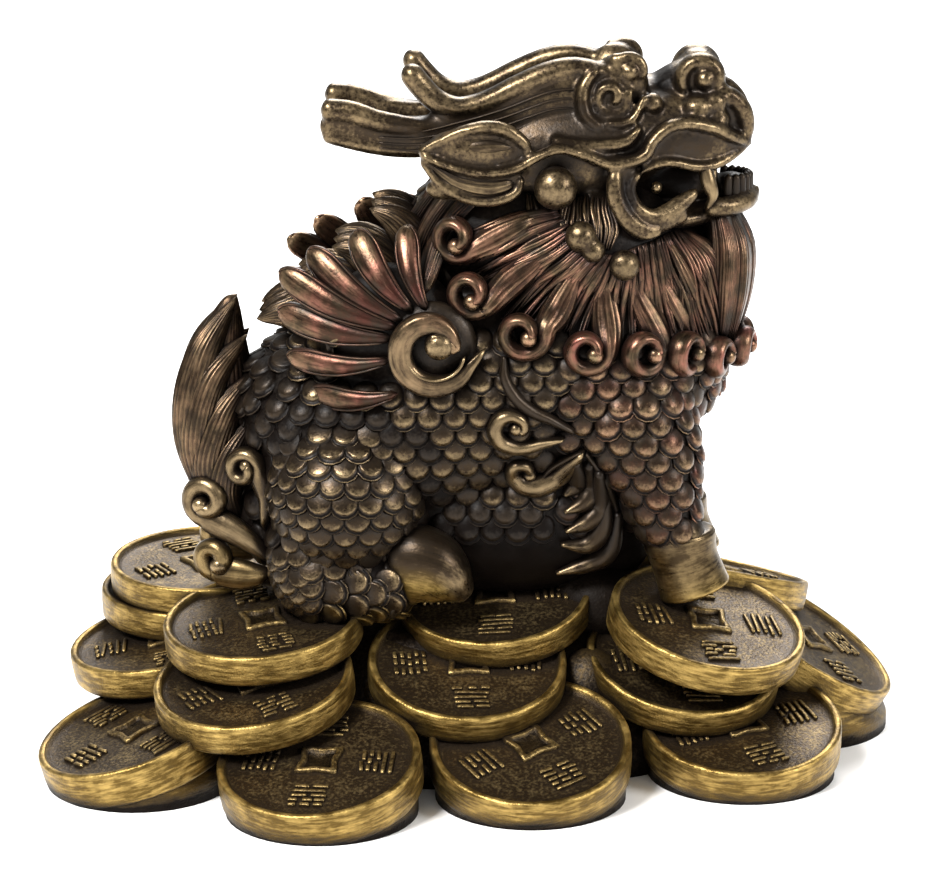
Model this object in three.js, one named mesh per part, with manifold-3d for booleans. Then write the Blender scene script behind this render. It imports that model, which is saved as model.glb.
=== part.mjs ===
// A qilin crouching on a heap of old coins, one resin casting. Millimetres, +Z up, the animal
// faces +X and its right side is -Y. The origin is the middle of the underside.
import * as THREE from "three";
import { mergeVertices } from "three/addons/utils/BufferGeometryUtils.js";
import Module from "manifold-3d";

const wasm = await Module();
wasm.setup();

// Driving sizes
const HEAP_MIDDLE_X = 1.05; // places along X are measured from this far behind the middle
const COIN_RADIUS = 14.5;
const COIN_THICK = 4.6;
const COIN_RIM = 1.7;
const COIN_SINK = 0.9;
const COIN_SIDES = 11;
const INNER_SIDES = 10; // round the coins of the left side and the heart of the heap
const LEDGE_INSET = 0.9; // how far the casting draws in under a lowest coin
const LEDGE_DROP = 1;
const BELOW_TABLE = 0.5; // what is cut off flat at the end
const RIGHT = [0, -1, 0];
const UP = [0, 0, 1];

const PI = Math.PI;
const radians = THREE.MathUtils.degToRad;

// Solids and how they join

// A three.js geometry as a closed solid.
function solid(geometry) {
  geometry.deleteAttribute("normal");
  geometry.deleteAttribute("uv");
  const merged = mergeVertices(geometry, 1e-4);
  const corners = merged.index.array;
  const kept = [];
  for (let i = 0; i < corners.length; i += 3) {
    const [a, b, c] = [corners[i], corners[i + 1], corners[i + 2]];
    if (a !== b && b !== c && c !== a) {
      kept.push(a, b, c);
    }
  }
  const mesh = new wasm.Mesh({
    numProp: 3,
    vertProperties: new Float32Array(merged.attributes.position.array),
    triVerts: new Uint32Array(kept),
  });
  return new wasm.Manifold(mesh);
}

function join(solids) {
  return solids.reduce((whole, next) => whole.add(next));
}

// The same solids again on the animal's left side.
function bothSides(solids) {
  return solids.concat(solids.map((one) => one.mirror([0, 1, 0])));
}

// A value read from a short list spread evenly from root to tip.
function along(list, t) {
  if (list.length === 1) {
    return list[0];
  }
  const place = t * (list.length - 1);
  const low = Math.min(Math.floor(place), list.length - 2);
  return THREE.MathUtils.lerp(list[low], list[low + 1], place - low);
}

// A rounded mass: a ball stretched to half sizes.
function mass(centre, halves, { detail = 1 } = {}) {
  const ball = new THREE.IcosahedronGeometry(1, detail);
  ball.scale(...halves);
  ball.translate(...centre);
  return solid(ball);
}

// A limb, horn, feather or lock of hair: a closed round bar bent along a curve through points.
// Widths and depths are half sizes from root to tip, and facing is where its depth points.
function limb(points, widths, depths, { facing = RIGHT, sides = 6, steps = 8 } = {}) {
  const curve = new THREE.CatmullRomCurve3(points.map((point) => new THREE.Vector3(...point)));
  const bar = new THREE.CylinderGeometry(1, 1, 1, sides, steps);
  const places = bar.attributes.position;
  const outward = new THREE.Vector3(...facing);
  for (let i = 0; i < places.count; i += 1) {
    const t = places.getY(i) + 0.5;
    const forward = curve.getTangent(t);
    const across = forward.clone().cross(outward).normalize();
    const proud = across.clone().cross(forward);
    const place = curve.getPoint(t);
    place.addScaledVector(across, places.getX(i) * along(widths, t));
    place.addScaledVector(proud, places.getZ(i) * along(depths, t));
    places.setXYZ(i, place.x, place.y, place.z);
  }
  return solid(bar);
}

// Points on a spiral that winds inwards, clockwise as seen from where it faces. The angles, in
// degrees, are clock angles: 0 is straight up and 90 is to the right.
const SPIRAL_STEPS = 7;

function spiral(centre, facing, outer, inner, from, turn) {
  const out = new THREE.Vector3(...facing).normalize();
  const right = new THREE.Vector3(0, 0, 1).cross(out).normalize();
  const up = out.clone().cross(right);
  const points = [];
  for (let i = 0; i <= SPIRAL_STEPS; i += 1) {
    const angle = radians(from + (turn * i) / SPIRAL_STEPS);
    const radius = THREE.MathUtils.lerp(outer, inner, i / SPIRAL_STEPS);
    const place = new THREE.Vector3(...centre);
    place.addScaledVector(right, Math.sin(angle) * radius);
    place.addScaledVector(up, Math.cos(angle) * radius);
    points.push(place.toArray());
  }
  return points;
}

// The way a piece on the animal's right side looks when it is turned towards the chest by a
// bearing in degrees.
function turned(bearing) {
  return [Math.sin(radians(bearing)), -Math.cos(radians(bearing)), 0];
}

// A curl of hair: a ridged lock that winds in to its own middle.
function curl(centre, facing, radius, { from = 40, turn = 330, steps = 5 } = {}) {
  const thick = radius * 0.36;
  const path = spiral(centre, facing, radius * 0.76, radius * 0.16, from, turn);
  return limb(path, [thick, thick, thick * 0.8], [radius * 0.6], { facing, sides: 3, steps });
}

// A round mass with flutes that run from pole to pole like combed locks.
function fluted(centre, halves, { flutes, deep, rings, pitch }) {
  const ball = new THREE.SphereGeometry(1, flutes * 2, rings);
  const places = ball.attributes.position;
  for (let i = 0; i < places.count; i += 1) {
    const round = Math.atan2(places.getZ(i), places.getX(i));
    const swell = 1 + deep * Math.cos(round * flutes);
    places.setXYZ(i, places.getX(i) * swell, places.getY(i), places.getZ(i) * swell);
  }
  ball.scale(...halves);
  ball.rotateZ(radians(pitch));
  ball.translate(...centre);
  return solid(ball);
}

// The heap of coins

// The way a coin's face looks, from its lean and the bearing it leans to.
function coinUp({ tilt, bearing }) {
  const flat = Math.sin(radians(tilt));
  return [
    flat * Math.cos(radians(bearing)),
    flat * Math.sin(radians(bearing)),
    Math.cos(radians(tilt)),
  ];
}

// A coin: a raised rim round a dished face. Under a coin of the lowest layer the casting runs on
// down to the table, a little inside the coin's edge.
function coinSolid(coin) {
  const radius = COIN_RADIUS;
  const low = coin.layer === 0;
  const profile = [
    new THREE.Vector2(radius, -COIN_THICK),
    new THREE.Vector2(radius, 0),
  ];
  if (coin.covered) {
    profile.push(new THREE.Vector2(0, 0));
  } else {
    profile.push(new THREE.Vector2(radius - COIN_RIM, 0), new THREE.Vector2(0, -COIN_SINK));
  }
  if (low) {
    profile.unshift(new THREE.Vector2(radius - LEDGE_INSET, -COIN_THICK - LEDGE_DROP));
  }
  profile.unshift(new THREE.Vector2(0, profile[0].y));
  const disc = new THREE.LatheGeometry(profile, coin.y > COIN_RADIUS ? INNER_SIDES : COIN_SIDES);
  disc.rotateX(PI / 2);
  if (low) {
    standOnTable(disc, coin);
  }
  return solid(placed(disc, coin));
}

// A coin's geometry, made flat at the origin, laid where the coin lies.
function placed(geometry, coin) {
  const lean = new THREE.Vector3(...coinUp(coin));
  const turn = new THREE.Quaternion().setFromUnitVectors(new THREE.Vector3(0, 0, 1), lean);
  geometry.applyQuaternion(turn);
  geometry.translate(coin.x, coin.y, coin.z);
  return geometry;
}

// Moves the points below a coin's underside, which is flat at the origin, to where the table
// will be once the coin is laid.
function standOnTable(disc, coin) {
  const lean = new THREE.Vector3(...coinUp(coin));
  const flat = new THREE.Vector3(0, 0, 1);
  const back = new THREE.Quaternion().setFromUnitVectors(lean, flat);
  const down = new THREE.Vector3(0, 0, -1).applyQuaternion(back);
  const places = disc.attributes.position;
  for (let i = 0; i < places.count; i += 1) {
    if (places.getZ(i) < -COIN_THICK - LEDGE_DROP / 2) {
      const place = new THREE.Vector3().fromBufferAttribute(places, i);
      const height = place.dot(down) * -1 + coin.z;
      place.addScaledVector(down, height + BELOW_TABLE);
      places.setXYZ(i, place.x, place.y, place.z);
    }
  }
}

// Coins by layer: the middle of the top face, the lean of the face and the bearing it leans to
// (0 is forwards, -90 to the right side). A twin is the same coin again on the left side, a
// little further forwards. A covered coin lies under another one.
const TWIN_SHIFT = 3;
const COINS = [
  { layer: 0, x: -48.5, y: -21, z: 8.5, tilt: 17, bearing: -158, twin: true },
  { layer: 0, x: -21, y: -34, z: 8.5, tilt: 15.5, bearing: -110, twin: true },
  { layer: 0, x: 9, y: -28.5, z: 9, tilt: 19, bearing: -92, twin: true },
  { layer: 0, x: 40, y: -18.5, z: 8.5, tilt: 14, bearing: -88, twin: true },
  { layer: 0, x: 52.3, y: 4, z: 14, tilt: 32, bearing: -8, twin: false },
  { layer: 1, x: -45.5, y: 0, z: 15.5, tilt: 10, bearing: -158, twin: false },
  { layer: 1, x: -31, y: -21, z: 16, tilt: 13, bearing: -118, twin: true },
  { layer: 1, x: 0, y: -16, z: 17, tilt: 19, bearing: -85, twin: true },
  { layer: 1, x: 32, y: -10.5, z: 16, tilt: 20, bearing: -72, twin: true },
  { layer: 2, x: -41.5, y: 11, z: 20, tilt: 3, bearing: -100, twin: false, covered: true },
  { layer: 2, x: -30, y: -12.5, z: 22.5, tilt: 9, bearing: -118, twin: false },
  { layer: 2, x: -40, y: 11, z: 24, tilt: 3, bearing: -100, twin: false },
  { layer: 2, x: 4, y: -4.7, z: 24, tilt: 17, bearing: -102, twin: true },
  { layer: 2, x: 35.3, y: -13, z: 22.5, tilt: 17.5, bearing: -47, twin: true },
];

// The solid heart of the heap, as half lengths and heights from the table up.
const MOUND_STEPS = [[42, 0], [40, 5], [22, 18]];
const MOUND_NARROW = 0.6; // its width as a share of its length
const MOUND_X = -1;

function mound() {
  const profile = [new THREE.Vector2(0, 0)];
  for (const [reach, height] of MOUND_STEPS) {
    profile.push(new THREE.Vector2(reach, height));
  }
  profile.push(new THREE.Vector2(0, MOUND_STEPS.at(-1)[1]));
  const cone = new THREE.LatheGeometry(profile, INNER_SIDES);
  cone.rotateX(PI / 2);
  cone.scale(1, MOUND_NARROW, 1);
  cone.translate(MOUND_X, 0, 0);
  return solid(cone);
}

function heap() {
  const solids = [mound()];
  for (const coin of COINS) {
    const twin = { ...coin, x: coin.x + TWIN_SHIFT, y: -coin.y, bearing: -coin.bearing };
    for (const one of coin.twin ? [coin, twin] : [coin]) {
      solids.push(coinSolid(one));
    }
  }
  return solids;
}

// The animal

// Places on the right side are paired on the left by bothSides.
function trunk() {
  const spine = [[-32, 0, 42], [-24, 0, 46], [-11, 0, 50], [4, 0, 56], [20, 0, 57.5], [30, 0, 56.5],
    [37.3, 0, 54]];
  return [
    limb(spine, [5, 14, 16, 16, 15, 12, 4], [7, 15, 17, 18, 18.5, 15.5, 6],
      { facing: UP, sides: 9, steps: 6 }),
    mass([6, 0, 37], [24, 12, 15]),
    mass([-29, 0, 35], [7, 9, 10], { detail: 0 }),
    mass([5, 0, 77], [13, 14, 12], { detail: 0 }),
  ];
}

function legs() {
  const thigh = mass([-17.5, -9, 41], [11.3, 10.8, 12.3]);
  const sole = [[-21.5, -8.5, 37], [-20.5, -10.5, 28], [-11, -12, 26.5], [-3.5, -12.5, 26],
    [0.8, -12.5, 24.6]];
  const foot = limb(sole, [7, 7.5, 5.5, 4, 0.8], [6, 6, 4.6, 3.6, 0.8], { steps: 4 });
  const arm = limb([[20, -8, 58], [26, -8.5, 46], [28.5, -9, 38], [31, -9, 33]],
    [11, 8, 6, 4.6], [8, 7, 5.6, 4.6], { steps: 3 });
  const hoof = limb([[30.6, -9, 33.6], [33.8, -9.3, 23.5]], [4.9, 4.7], [4.9, 4.7], { steps: 1 });
  return bothSides([thigh, foot, arm, hoof]);
}

// Flame locks and curls behind the fore leg and at the root of the tail.
const FLAMES = 2;
const FLAME_STEP = 2.6;

function fringes() {
  const solids = [
    curl([7.4, -14.6, 52.4], RIGHT, 3.9, { from: 100 }),
    curl([9.5, -12.4, 42.6], RIGHT, 4.4, { from: 60 }),
    curl([-32.2, -6.5, 42.4], turned(-30), 3.6, { from: 100 }),
    curl([-37, -5, 39], turned(-40), 3.6, { from: 110 }),
  ];
  for (let i = 0; i < FLAMES; i += 1) {
    const along = i * FLAME_STEP;
    const flame = [[15.4 + along, -13, 47 - i * 2], [17 + along, -13.4, 42 - i * 1.6],
      [15 + along * 1.3, -12.6, 35 - i * 3.2]];
    solids.push(limb(flame, [1.2, 1.4, 0.3], [2.4, 2.4, 0.6], { sides: 3, steps: 2 }));
  }
  return bothSides(solids);
}

// The wing: a big spiral at the shoulder and a fan of plump feathers behind it. The fan opens
// from straight up to a little below straight back, and its middle feathers reach furthest.
const WING = [-4.5, -17.5, 64];
const FEATHERS = 7;
const FAN_FROM = 101;
const FAN_TURN = 97;
const FAN_CROWDING = 0.06;
const FEATHER_REACH = 15.5;
const FEATHER_GAIN = 7.5;
const FEATHER_BACK = 2; // how far behind the spiral the feathers lie
const FEATHER_ARCH = 1.5;

function wings() {
  const solids = [mass([-11, -13.5, 66], [13, 4.5, 12], { detail: 0 })];
  solids.push(curl(WING, RIGHT, 7.4, { from: 120, steps: 6 }));
  for (let i = 0; i < FEATHERS; i += 1) {
    const t = i / (FEATHERS - 1);
    const angle = radians(FAN_FROM + FAN_TURN * (t + FAN_CROWDING * Math.sin(2 * PI * t)));
    const reach = FEATHER_REACH + FEATHER_GAIN * Math.sin(PI * t);
    const point = (share) => [
      WING[0] + Math.cos(angle) * reach * share,
      WING[1] + FEATHER_BACK - Math.sin(share * PI) * FEATHER_ARCH,
      WING[2] + Math.sin(angle) * reach * share,
    ];
    solids.push(limb([point(0.5), point(0.75), point(1)], [1.2, 2.2, 2.5, 0.6],
      [3, 3.4, 2.8, 0.8], { sides: 3, steps: 3 }));
  }
  return bothSides(solids);
}

// The mane: locks that fan out from the jaw and end in curls, from behind the ear to the chest.
// Each row is the curl's middle, its radius and the bearing it looks to.
const MANE = [
  [-0.3, -10, 79.6, 4.2, -30],
  [1.2, -14, 72, 4.1, -16],
  [7.3, -14, 67.3, 4.2, -6],
  [16.2, -14.4, 63.5, 3.9, 6],
  [23.8, -13, 62.8, 3.7, 22],
  [30.4, -10.4, 62.6, 3.7, 40],
  [35.2, -6.6, 60.8, 3.6, 58],
  [38, -2.2, 60.4, 3.5, 80],
];

function mane() {
  const curls = MANE.map(([x, y, z, radius, bearing]) => curl([x, y, z], turned(bearing), radius));
  return bothSides(curls).concat([
    fluted([19, 0, 75.5], [20, 17.6, 17], { flutes: 10, deep: 0.07, rings: 4, pitch: 20 }),
    mass([31, 0, 69], [9, 9.5, 10.5]),
    limb([[37.5, 0, 80], [40.5, 0, 70], [39.5, 0, 61.5]], [4, 5.5, 2], [3, 2.6, 1],
      { facing: [1, 0, 0], sides: 5, steps: 4 }),
  ]);
}

function head() {
  const middle = [
    limb([[6, 0, 88], [17, 0, 90.5], [29, 0, 94.4], [36.5, 0, 94.6], [41.2, 0, 93.6]],
      [10, 12.4, 9.4, 8, 3.4], [10, 11, 7, 6.6, 3.6], { facing: UP, sides: 8, steps: 5 }),
    limb([[16, 0, 84], [25, 0, 80.4], [33, 0, 79], [41.2, 0, 81.4]],
      [11.5, 11.5, 8, 3.6], [9, 6, 3.4, 1.4], { facing: UP, sides: 7, steps: 3 }),
    mass([38.4, 0, 87.6], [1.8, 4.6, 2.6], { detail: 0 }),
  ];
  const lip = [[39.5, -4, 92], [33, -8, 94.6], [28, -9.6, 92], [23.6, -11, 90.2], [17, -11.6, 89.6],
    [11, -12, 91]];
  const side = [
    mass([33.4, -4.6, 100.6], [4.2, 4, 4]),
    mass([23, -6.6, 100.2], [3.4, 3.4, 3.4], { detail: 0 }),
    mass([19.6, -8.6, 96.6], [4, 2.8, 4], { detail: 0 }),
    mass([12.5, -12.4, 86], [3.2, 3, 3.2], { detail: 0 }),
    mass([17, -13.8, 79.4], [2.6, 2.4, 2.4], { detail: 0 }),
    mass([21.6, -14.2, 74.8], [2.4, 2.4, 2.4], { detail: 0 }),
    limb([[35, -5.6, 92], [35, -6.4, 82.4]], [1.8, 0.4], [1.5, 0.4], { sides: 4, steps: 1 }),
    limb(lip, [1.3], [2], { sides: 3, steps: 6 }),
    limb([[10, -10.5, 91.4], [2, -13, 91.6], [-6.8, -12.8, 91]],
      [3, 4.4, 3.6, 0.5], [2.4, 1.8, 1.2, 0.4], { sides: 4, steps: 3 }),
    limb([[9, -11, 87.2], [2.5, -12.6, 86.6], [-5.6, -12.2, 89.4]],
      [2, 2.8, 2, 0.5], [2, 1.8, 1.2, 0.4], { sides: 3, steps: 3 }),
  ];
  return middle.concat(bothSides(side));
}

function horns() {
  return bothSides([
    limb([[19, -6.5, 97], [8, -6.8, 96.2], [-4, -6.8, 93.8], [-13, -7, 92.6], [-20, -7, 93.4]],
      [3.6, 3.6, 3.4, 3.4, 3.2, 2.2], [2.8, 2.8, 2.4, 2.2, 2, 1.2], { steps: 5 }),
    limb([[19, -5.2, 101], [8, -6, 99], [-2.5, -6.4, 96.6], [-7, -6.4, 98.8], [-8.6, -6.2, 103.2]],
      [2.8, 2.8, 2.4, 2.2, 1.9, 1.5], [2.4, 2.4, 2.2, 2, 1.9, 1.5], { sides: 4, steps: 6 }),
  ]);
}

// The tail stands up behind the rump as plumes of combed hair, tallest in front.
const PLUMES = 3;
const PLUME_BACK = 0.9;
const PLUME_DROP = 5;

function tail() {
  const plumes = [];
  for (let i = 0; i < PLUMES; i += 1) {
    const back = i * PLUME_BACK;
    const drop = i * PLUME_DROP;
    const stem = [[-29, 0, 36], [-37.5 - back * 0.4, 0, 45 - drop * 0.3], [-39 - back, 0, 56 - drop],
      [-34 - back * 3, 0, 66.5 - drop * 1.5]];
    plumes.push(limb(stem, [3.6, 4.6, 3.8, 0.5], [7, 6.4, 4.5, 0.6], { steps: 5 }));
  }
  return plumes;
}

// Everything below the table is cut away, which leaves the flat underside.
const TABLE_SIZE = 200;
const table = new THREE.BoxGeometry(TABLE_SIZE, TABLE_SIZE, TABLE_SIZE);
table.translate(0, 0, -TABLE_SIZE / 2);
const figure = join([
  ...heap(),
  ...trunk(),
  ...legs(),
  ...fringes(),
  ...wings(),
  ...mane(),
  ...head(),
  ...horns(),
  ...tail(),
]).subtract(solid(table));

function meshOf(name, body, colour) {
  const { vertProperties, triVerts } = body.getMesh();
  const geometry = new THREE.BufferGeometry();
  geometry.setAttribute("position", new THREE.BufferAttribute(vertProperties, 3));
  geometry.setIndex(new THREE.BufferAttribute(triVerts, 1));
  geometry.computeVertexNormals();
  const finish = new THREE.MeshStandardMaterial({ color: colour, roughness: 0.42, metalness: 0.6 });
  const mesh = new THREE.Mesh(geometry, finish);
  mesh.name = name;
  return mesh;
}

const group = new THREE.Group();
const qilin = meshOf("qilin_on_coins", figure, 0x6b5638);
qilin.position.x = -HEAP_MIDDLE_X;
group.add(qilin);

export default group;
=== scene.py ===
import functools
import math

import bmesh
import bpy
import numpy as np
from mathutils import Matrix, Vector
from mathutils.bvhtree import BVHTree


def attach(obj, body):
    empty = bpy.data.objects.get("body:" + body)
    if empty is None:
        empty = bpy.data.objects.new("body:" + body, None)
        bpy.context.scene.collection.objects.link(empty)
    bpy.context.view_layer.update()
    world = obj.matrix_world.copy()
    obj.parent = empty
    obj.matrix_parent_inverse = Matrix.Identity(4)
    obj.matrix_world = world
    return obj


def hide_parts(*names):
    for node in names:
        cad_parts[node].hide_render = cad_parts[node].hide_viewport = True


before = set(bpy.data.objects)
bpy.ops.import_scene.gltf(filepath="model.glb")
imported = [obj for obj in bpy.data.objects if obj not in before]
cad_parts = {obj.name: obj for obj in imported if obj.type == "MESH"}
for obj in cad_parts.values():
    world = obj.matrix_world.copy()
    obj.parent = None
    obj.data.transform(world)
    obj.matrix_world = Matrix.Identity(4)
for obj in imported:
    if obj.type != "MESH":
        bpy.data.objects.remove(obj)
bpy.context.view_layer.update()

# Places are in millimetres, as the modeller took them, and every piece is brought to the frame's
# metres when it is finished. The middle of the figure's length was taken at MIDDLE_X.
MM = 0.001
MIDDLE_X = 1.05
RIGHT = (0, -1, 0)
UP = (0, 0, 1)
FRONT = (1, 0, 0)
chance = np.random.default_rng(11)


# The studio

PHOTO_WIDTH = 935
FOCAL_PIXELS = 3290
SENSOR = 36
CAMERA_PLACE = (-MIDDLE_X * MM, -0.470, 0.173)
CAMERA_AIM = (-MIDDLE_X * MM, 0, 0.045)
LIGHTS_AIM = (0, 0, 0.05)


def placed(name, data):
    """A new object of the scene."""
    made = bpy.data.objects.new(name, data)
    bpy.context.scene.collection.objects.link(made)
    return made


def mesh_of(bm, name):
    """The bmesh as a mesh."""
    mesh = bpy.data.meshes.new(name)
    bm.to_mesh(mesh)
    bm.free()
    return mesh


def look_from(seen, place, aim):
    seen.location = place
    seen.rotation_euler = (Vector(aim) - seen.location).to_track_quat("-Z", "Y").to_euler()


def camera():
    data = bpy.data.cameras.new("camera")
    data.sensor_width = SENSOR
    data.lens = SENSOR * FOCAL_PIXELS / PHOTO_WIDTH
    seen = placed("camera", data)
    look_from(seen, CAMERA_PLACE, CAMERA_AIM)
    bpy.context.scene.camera = seen


def softbox(name, place, size, watts):
    """A square soft white light that looks at the middle of the figure."""
    data = bpy.data.lights.new(name, "AREA")
    data.size = size
    data.energy = watts
    look_from(placed(name, data), place, LIGHTS_AIM)


def node(material, kind, settings=None, **inputs):
    """Adds a shader node with its settings, and its inputs as values or as links from sockets."""
    made = material.node_tree.nodes.new("ShaderNode" + kind)
    for name, value in (settings or {}).items():
        setattr(made, name, value)
    for name, value in inputs.items():
        wanted = name.replace("_", " ")
        slot = made.inputs[int(name[1:])] if name[1:].isdigit() else made.inputs[wanted]
        if isinstance(value, bpy.types.NodeSocket):
            material.node_tree.links.new(value, slot)
        else:
            slot.default_value = value
    return made


def linear(code):
    """An sRGB hex colour as linear red, green, blue and alpha."""
    parts = [int(code[i:i + 2], 16) / 255 for i in (1, 3, 5)]
    return [p / 12.92 if p < 0.04045 else ((p + 0.055) / 1.055) ** 2.4 for p in parts] + [1]


def new_material(name):
    material = bpy.data.materials.new(name)
    material.use_nodes = True
    material.node_tree.nodes.clear()
    return material


def shade(material, surface):
    node(material, "OutputMaterial", Surface=surface)
    return material


def studio():
    """White paper on a table, and three soft lights."""
    paper = new_material("matt_white_paper")
    place = node(paper, "TexCoord").outputs["Object"]
    grain = node(paper, "TexNoise", Vector=place, Scale=40.0, Detail=3.0)
    tone = node(paper, "Mix", {"data_type": "RGBA"}, i0=grain.outputs[0], i6=linear("#f7f6f4"),
                i7=linear("#fdfcfb"))
    shade(paper, node(paper, "BsdfPrincipled", Base_Color=tone.outputs[2], Roughness=0.9).outputs[0])
    bm = bmesh.new()
    bmesh.ops.create_grid(bm, x_segments=2, y_segments=2, size=4)
    floor = placed("floor", mesh_of(bm, "floor"))
    floor.data.materials.append(paper)
    softbox("key", (-0.45, -0.55, 0.75), 0.26, 19)
    softbox("fill", (0.75, -0.45, 0.45), 0.3, 7)
    softbox("back", (0.1, 0.8, 0.8), 0.6, 15)
    world = bpy.data.worlds.new("studio")
    world.use_nodes = True
    sky = world.node_tree.nodes["Background"]
    sky.inputs["Color"].default_value = linear("#f0efec")
    sky.inputs["Strength"].default_value = 0.58
    bpy.context.scene.world = world
    bpy.context.scene.view_settings.view_transform = "Standard"


# Paint. The casting is dark brown resin. Bronze, copper or gold paint is brushed on nearly dry,
# so it holds to what stands proud and leaves the hollows dark, and painted shade from ambient
# occlusion darkens the hollows further.

BRUSH_LONG = 7  # how many times longer than wide the brush's streaks are


def painted(name, hollow, body, proud, copper, gold, *, roughness, grain, streaks):
    """Resin with dry-brushed metal paint. Colours go from hollows to what stands proud. The pieces'
    paint attribute says how proud, coppery, golden and painted each point is, less its painted
    shade, and their brushed attribute is a place in mm that is drawn together along the brush's
    way. Ambient occlusion darkens recesses as painted shade. The grain is a bump in mm, and
    streaks is how unevenly the brush covers."""
    material = new_material(name)
    paint = node(material, "Attribute", {"attribute_name": "paint"})
    parts = node(material, "SeparateColor", Color=paint.outputs["Color"])
    place = node(material, "TexCoord").outputs["Object"]
    brushed = node(material, "Attribute", {"attribute_name": "brushed"}).outputs["Vector"]
    # blotches of about 3 mm, streaks half a millimetre wide and pits a third of one wide
    blotch = node(material, "TexNoise", Vector=place, Scale=1 / (3 * MM), Detail=4.0, Roughness=0.6)
    streak = node(material, "TexNoise", Vector=brushed, Scale=1 / 0.5, Detail=3.0, Roughness=0.6)
    pits = node(material, "TexNoise", Vector=place, Scale=1 / (0.35 * MM), Detail=2.0)
    # painted shade: ambient occlusion darkens recesses toward the hollows' colour and dulls their metal and
    # sheen, standing also for where the brush could not reach
    shadow = node(material, "AmbientOcclusion", {"samples": 4}, Distance=2.4 * MM)
    open_air = node(material, "MapRange", Value=shadow.outputs["AO"], From_Min=0.3, From_Max=0.95)
    worn = node(material, "Math", {"operation": "MULTIPLY_ADD"}, i0=parts.outputs["Red"], i1=0.75,
                i2=0.25)
    shown = node(material, "Math", {"operation": "MULTIPLY"}, i0=worn.outputs[0],
                 i1=open_air.outputs[0])
    reached_less_shade = node(material, "Math", {"operation": "MULTIPLY"}, i0=shown.outputs[0],
                   i1=paint.outputs["Alpha"])
    mottled = node(material, "MapRange", Value=blotch.outputs[0], From_Min=0.3, From_Max=0.7,
                   To_Min=0.82, To_Max=1.12)
    even = node(material, "Math", {"operation": "MULTIPLY"}, i0=reached_less_shade.outputs[0],
                i1=mottled.outputs[0])
    uneven = node(material, "MapRange", Value=streak.outputs[0], From_Min=0.25, From_Max=0.75,
                  To_Min=-streaks, To_Max=streaks)
    height = node(material, "Math", {"operation": "ADD", "use_clamp": True}, i0=even.outputs[0],
                  i1=uneven.outputs[0])

    def tones(low, high):
        """The paint's colour, from the hollows' to a middle and to what stands proud."""
        ramp = node(material, "ValToRGB", Fac=height.outputs[0])
        ramp.color_ramp.elements[0].color = linear(hollow)
        ramp.color_ramp.elements[0].position = 0.12
        ramp.color_ramp.elements[1].color = linear(high)
        ramp.color_ramp.elements[1].position = 0.95
        middle = ramp.color_ramp.elements.new(0.56)
        middle.color = linear(low)
        return ramp.outputs["Color"]

    patch = node(material, "MapRange", Value=blotch.outputs[0], From_Min=0.35, From_Max=0.62)
    red = node(material, "Math", {"operation": "MULTIPLY", "use_clamp": True},
               i0=parts.outputs["Green"], i1=patch.outputs[0])
    coppered = node(material, "Mix", {"data_type": "RGBA"}, i0=red.outputs[0],
                    i6=tones(body, proud), i7=tones(*copper))
    gilded = node(material, "Mix", {"data_type": "RGBA"}, i0=parts.outputs["Blue"],
                  i6=coppered.outputs[2], i7=tones(*gold))
    metal = node(material, "MapRange", Value=height.outputs[0], From_Min=0.1, From_Max=0.5,
                 To_Min=0.1, To_Max=0.92)
    rough = node(material, "MapRange", Value=streak.outputs[0], From_Min=0.3, From_Max=0.7,
                 To_Min=roughness - 0.06, To_Max=roughness + 0.1)
    resin = node(material, "Math", {"operation": "SUBTRACT"}, i0=1.0, i1=reached_less_shade.outputs[0])
    matter = node(material, "Math", {"operation": "MULTIPLY_ADD"}, i0=resin.outputs[0], i1=0.18,
                  i2=rough.outputs[0])
    shine = node(material, "MapRange", Value=height.outputs[0], From_Min=0.1, From_Max=0.5, To_Min=0.06,
                 To_Max=0.5)
    relief = node(material, "Math", {"operation": "ADD"}, i0=streak.outputs[0], i1=pits.outputs[0])
    skin = node(material, "Bump", Height=relief.outputs[0], Strength=0.5, Distance=grain * MM)
    shader = node(material, "BsdfPrincipled", Base_Color=gilded.outputs[2],
                  Metallic=metal.outputs[0], Roughness=matter.outputs[0],
                  Specular_IOR_Level=shine.outputs[0], Normal=skin.outputs[0])
    return shade(material, shader.outputs[0])


# Dark brown resin with antique bronze paint, which looks greenish brown and shines on its ridges
bronze = painted("antique_bronze_on_resin", "#0c0806", "#32281d", "#968160", ("#472721", "#a26a5c"),
                 ("#5a4820", "#c4a45e"), roughness=0.24, grain=0.05, streaks=0.1)
# The coins' faces keep most of their dark resin, and their rims are brushed with gold
coinage = painted("gold_on_coin_resin", "#120d09", "#3a2e20", "#8f7b55", ("#4a2722", "#a8705f"),
                  ("#604c24", "#c6a762"), roughness=0.34, grain=0.16, streaks=0.22)


# Shapes

@functools.cache
def turned(profile, sides):
    """A closed turned shape, from a profile of (radius, height) that begins and ends on the axis."""
    bm = bmesh.new()
    line = [bm.verts.new((radius, 0, height)) for radius, height in profile]
    edge = [bm.edges.new(pair) for pair in zip(line, line[1:])]
    bmesh.ops.spin(bm, geom=line + edge, cent=(0, 0, 0), axis=(0, 0, 1), angle=math.tau, steps=sides,
                   use_merge=True)
    bmesh.ops.remove_doubles(bm, verts=bm.verts, dist=1e-5)
    bmesh.ops.recalc_face_normals(bm, faces=bm.faces)
    return mesh_of(bm, "turned")


@functools.cache
def bar(sides, steps):
    """A closed round bar one unit long and two across, cut into rings."""
    rings = tuple((1, i / steps) for i in range(steps + 1))
    return turned(((0, 0),) + rings + ((0, 1),), sides)


@functools.cache
def ball(fineness):
    bm = bmesh.new()
    bmesh.ops.create_icosphere(bm, subdivisions=fineness, radius=1)
    return mesh_of(bm, "ball")


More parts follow.
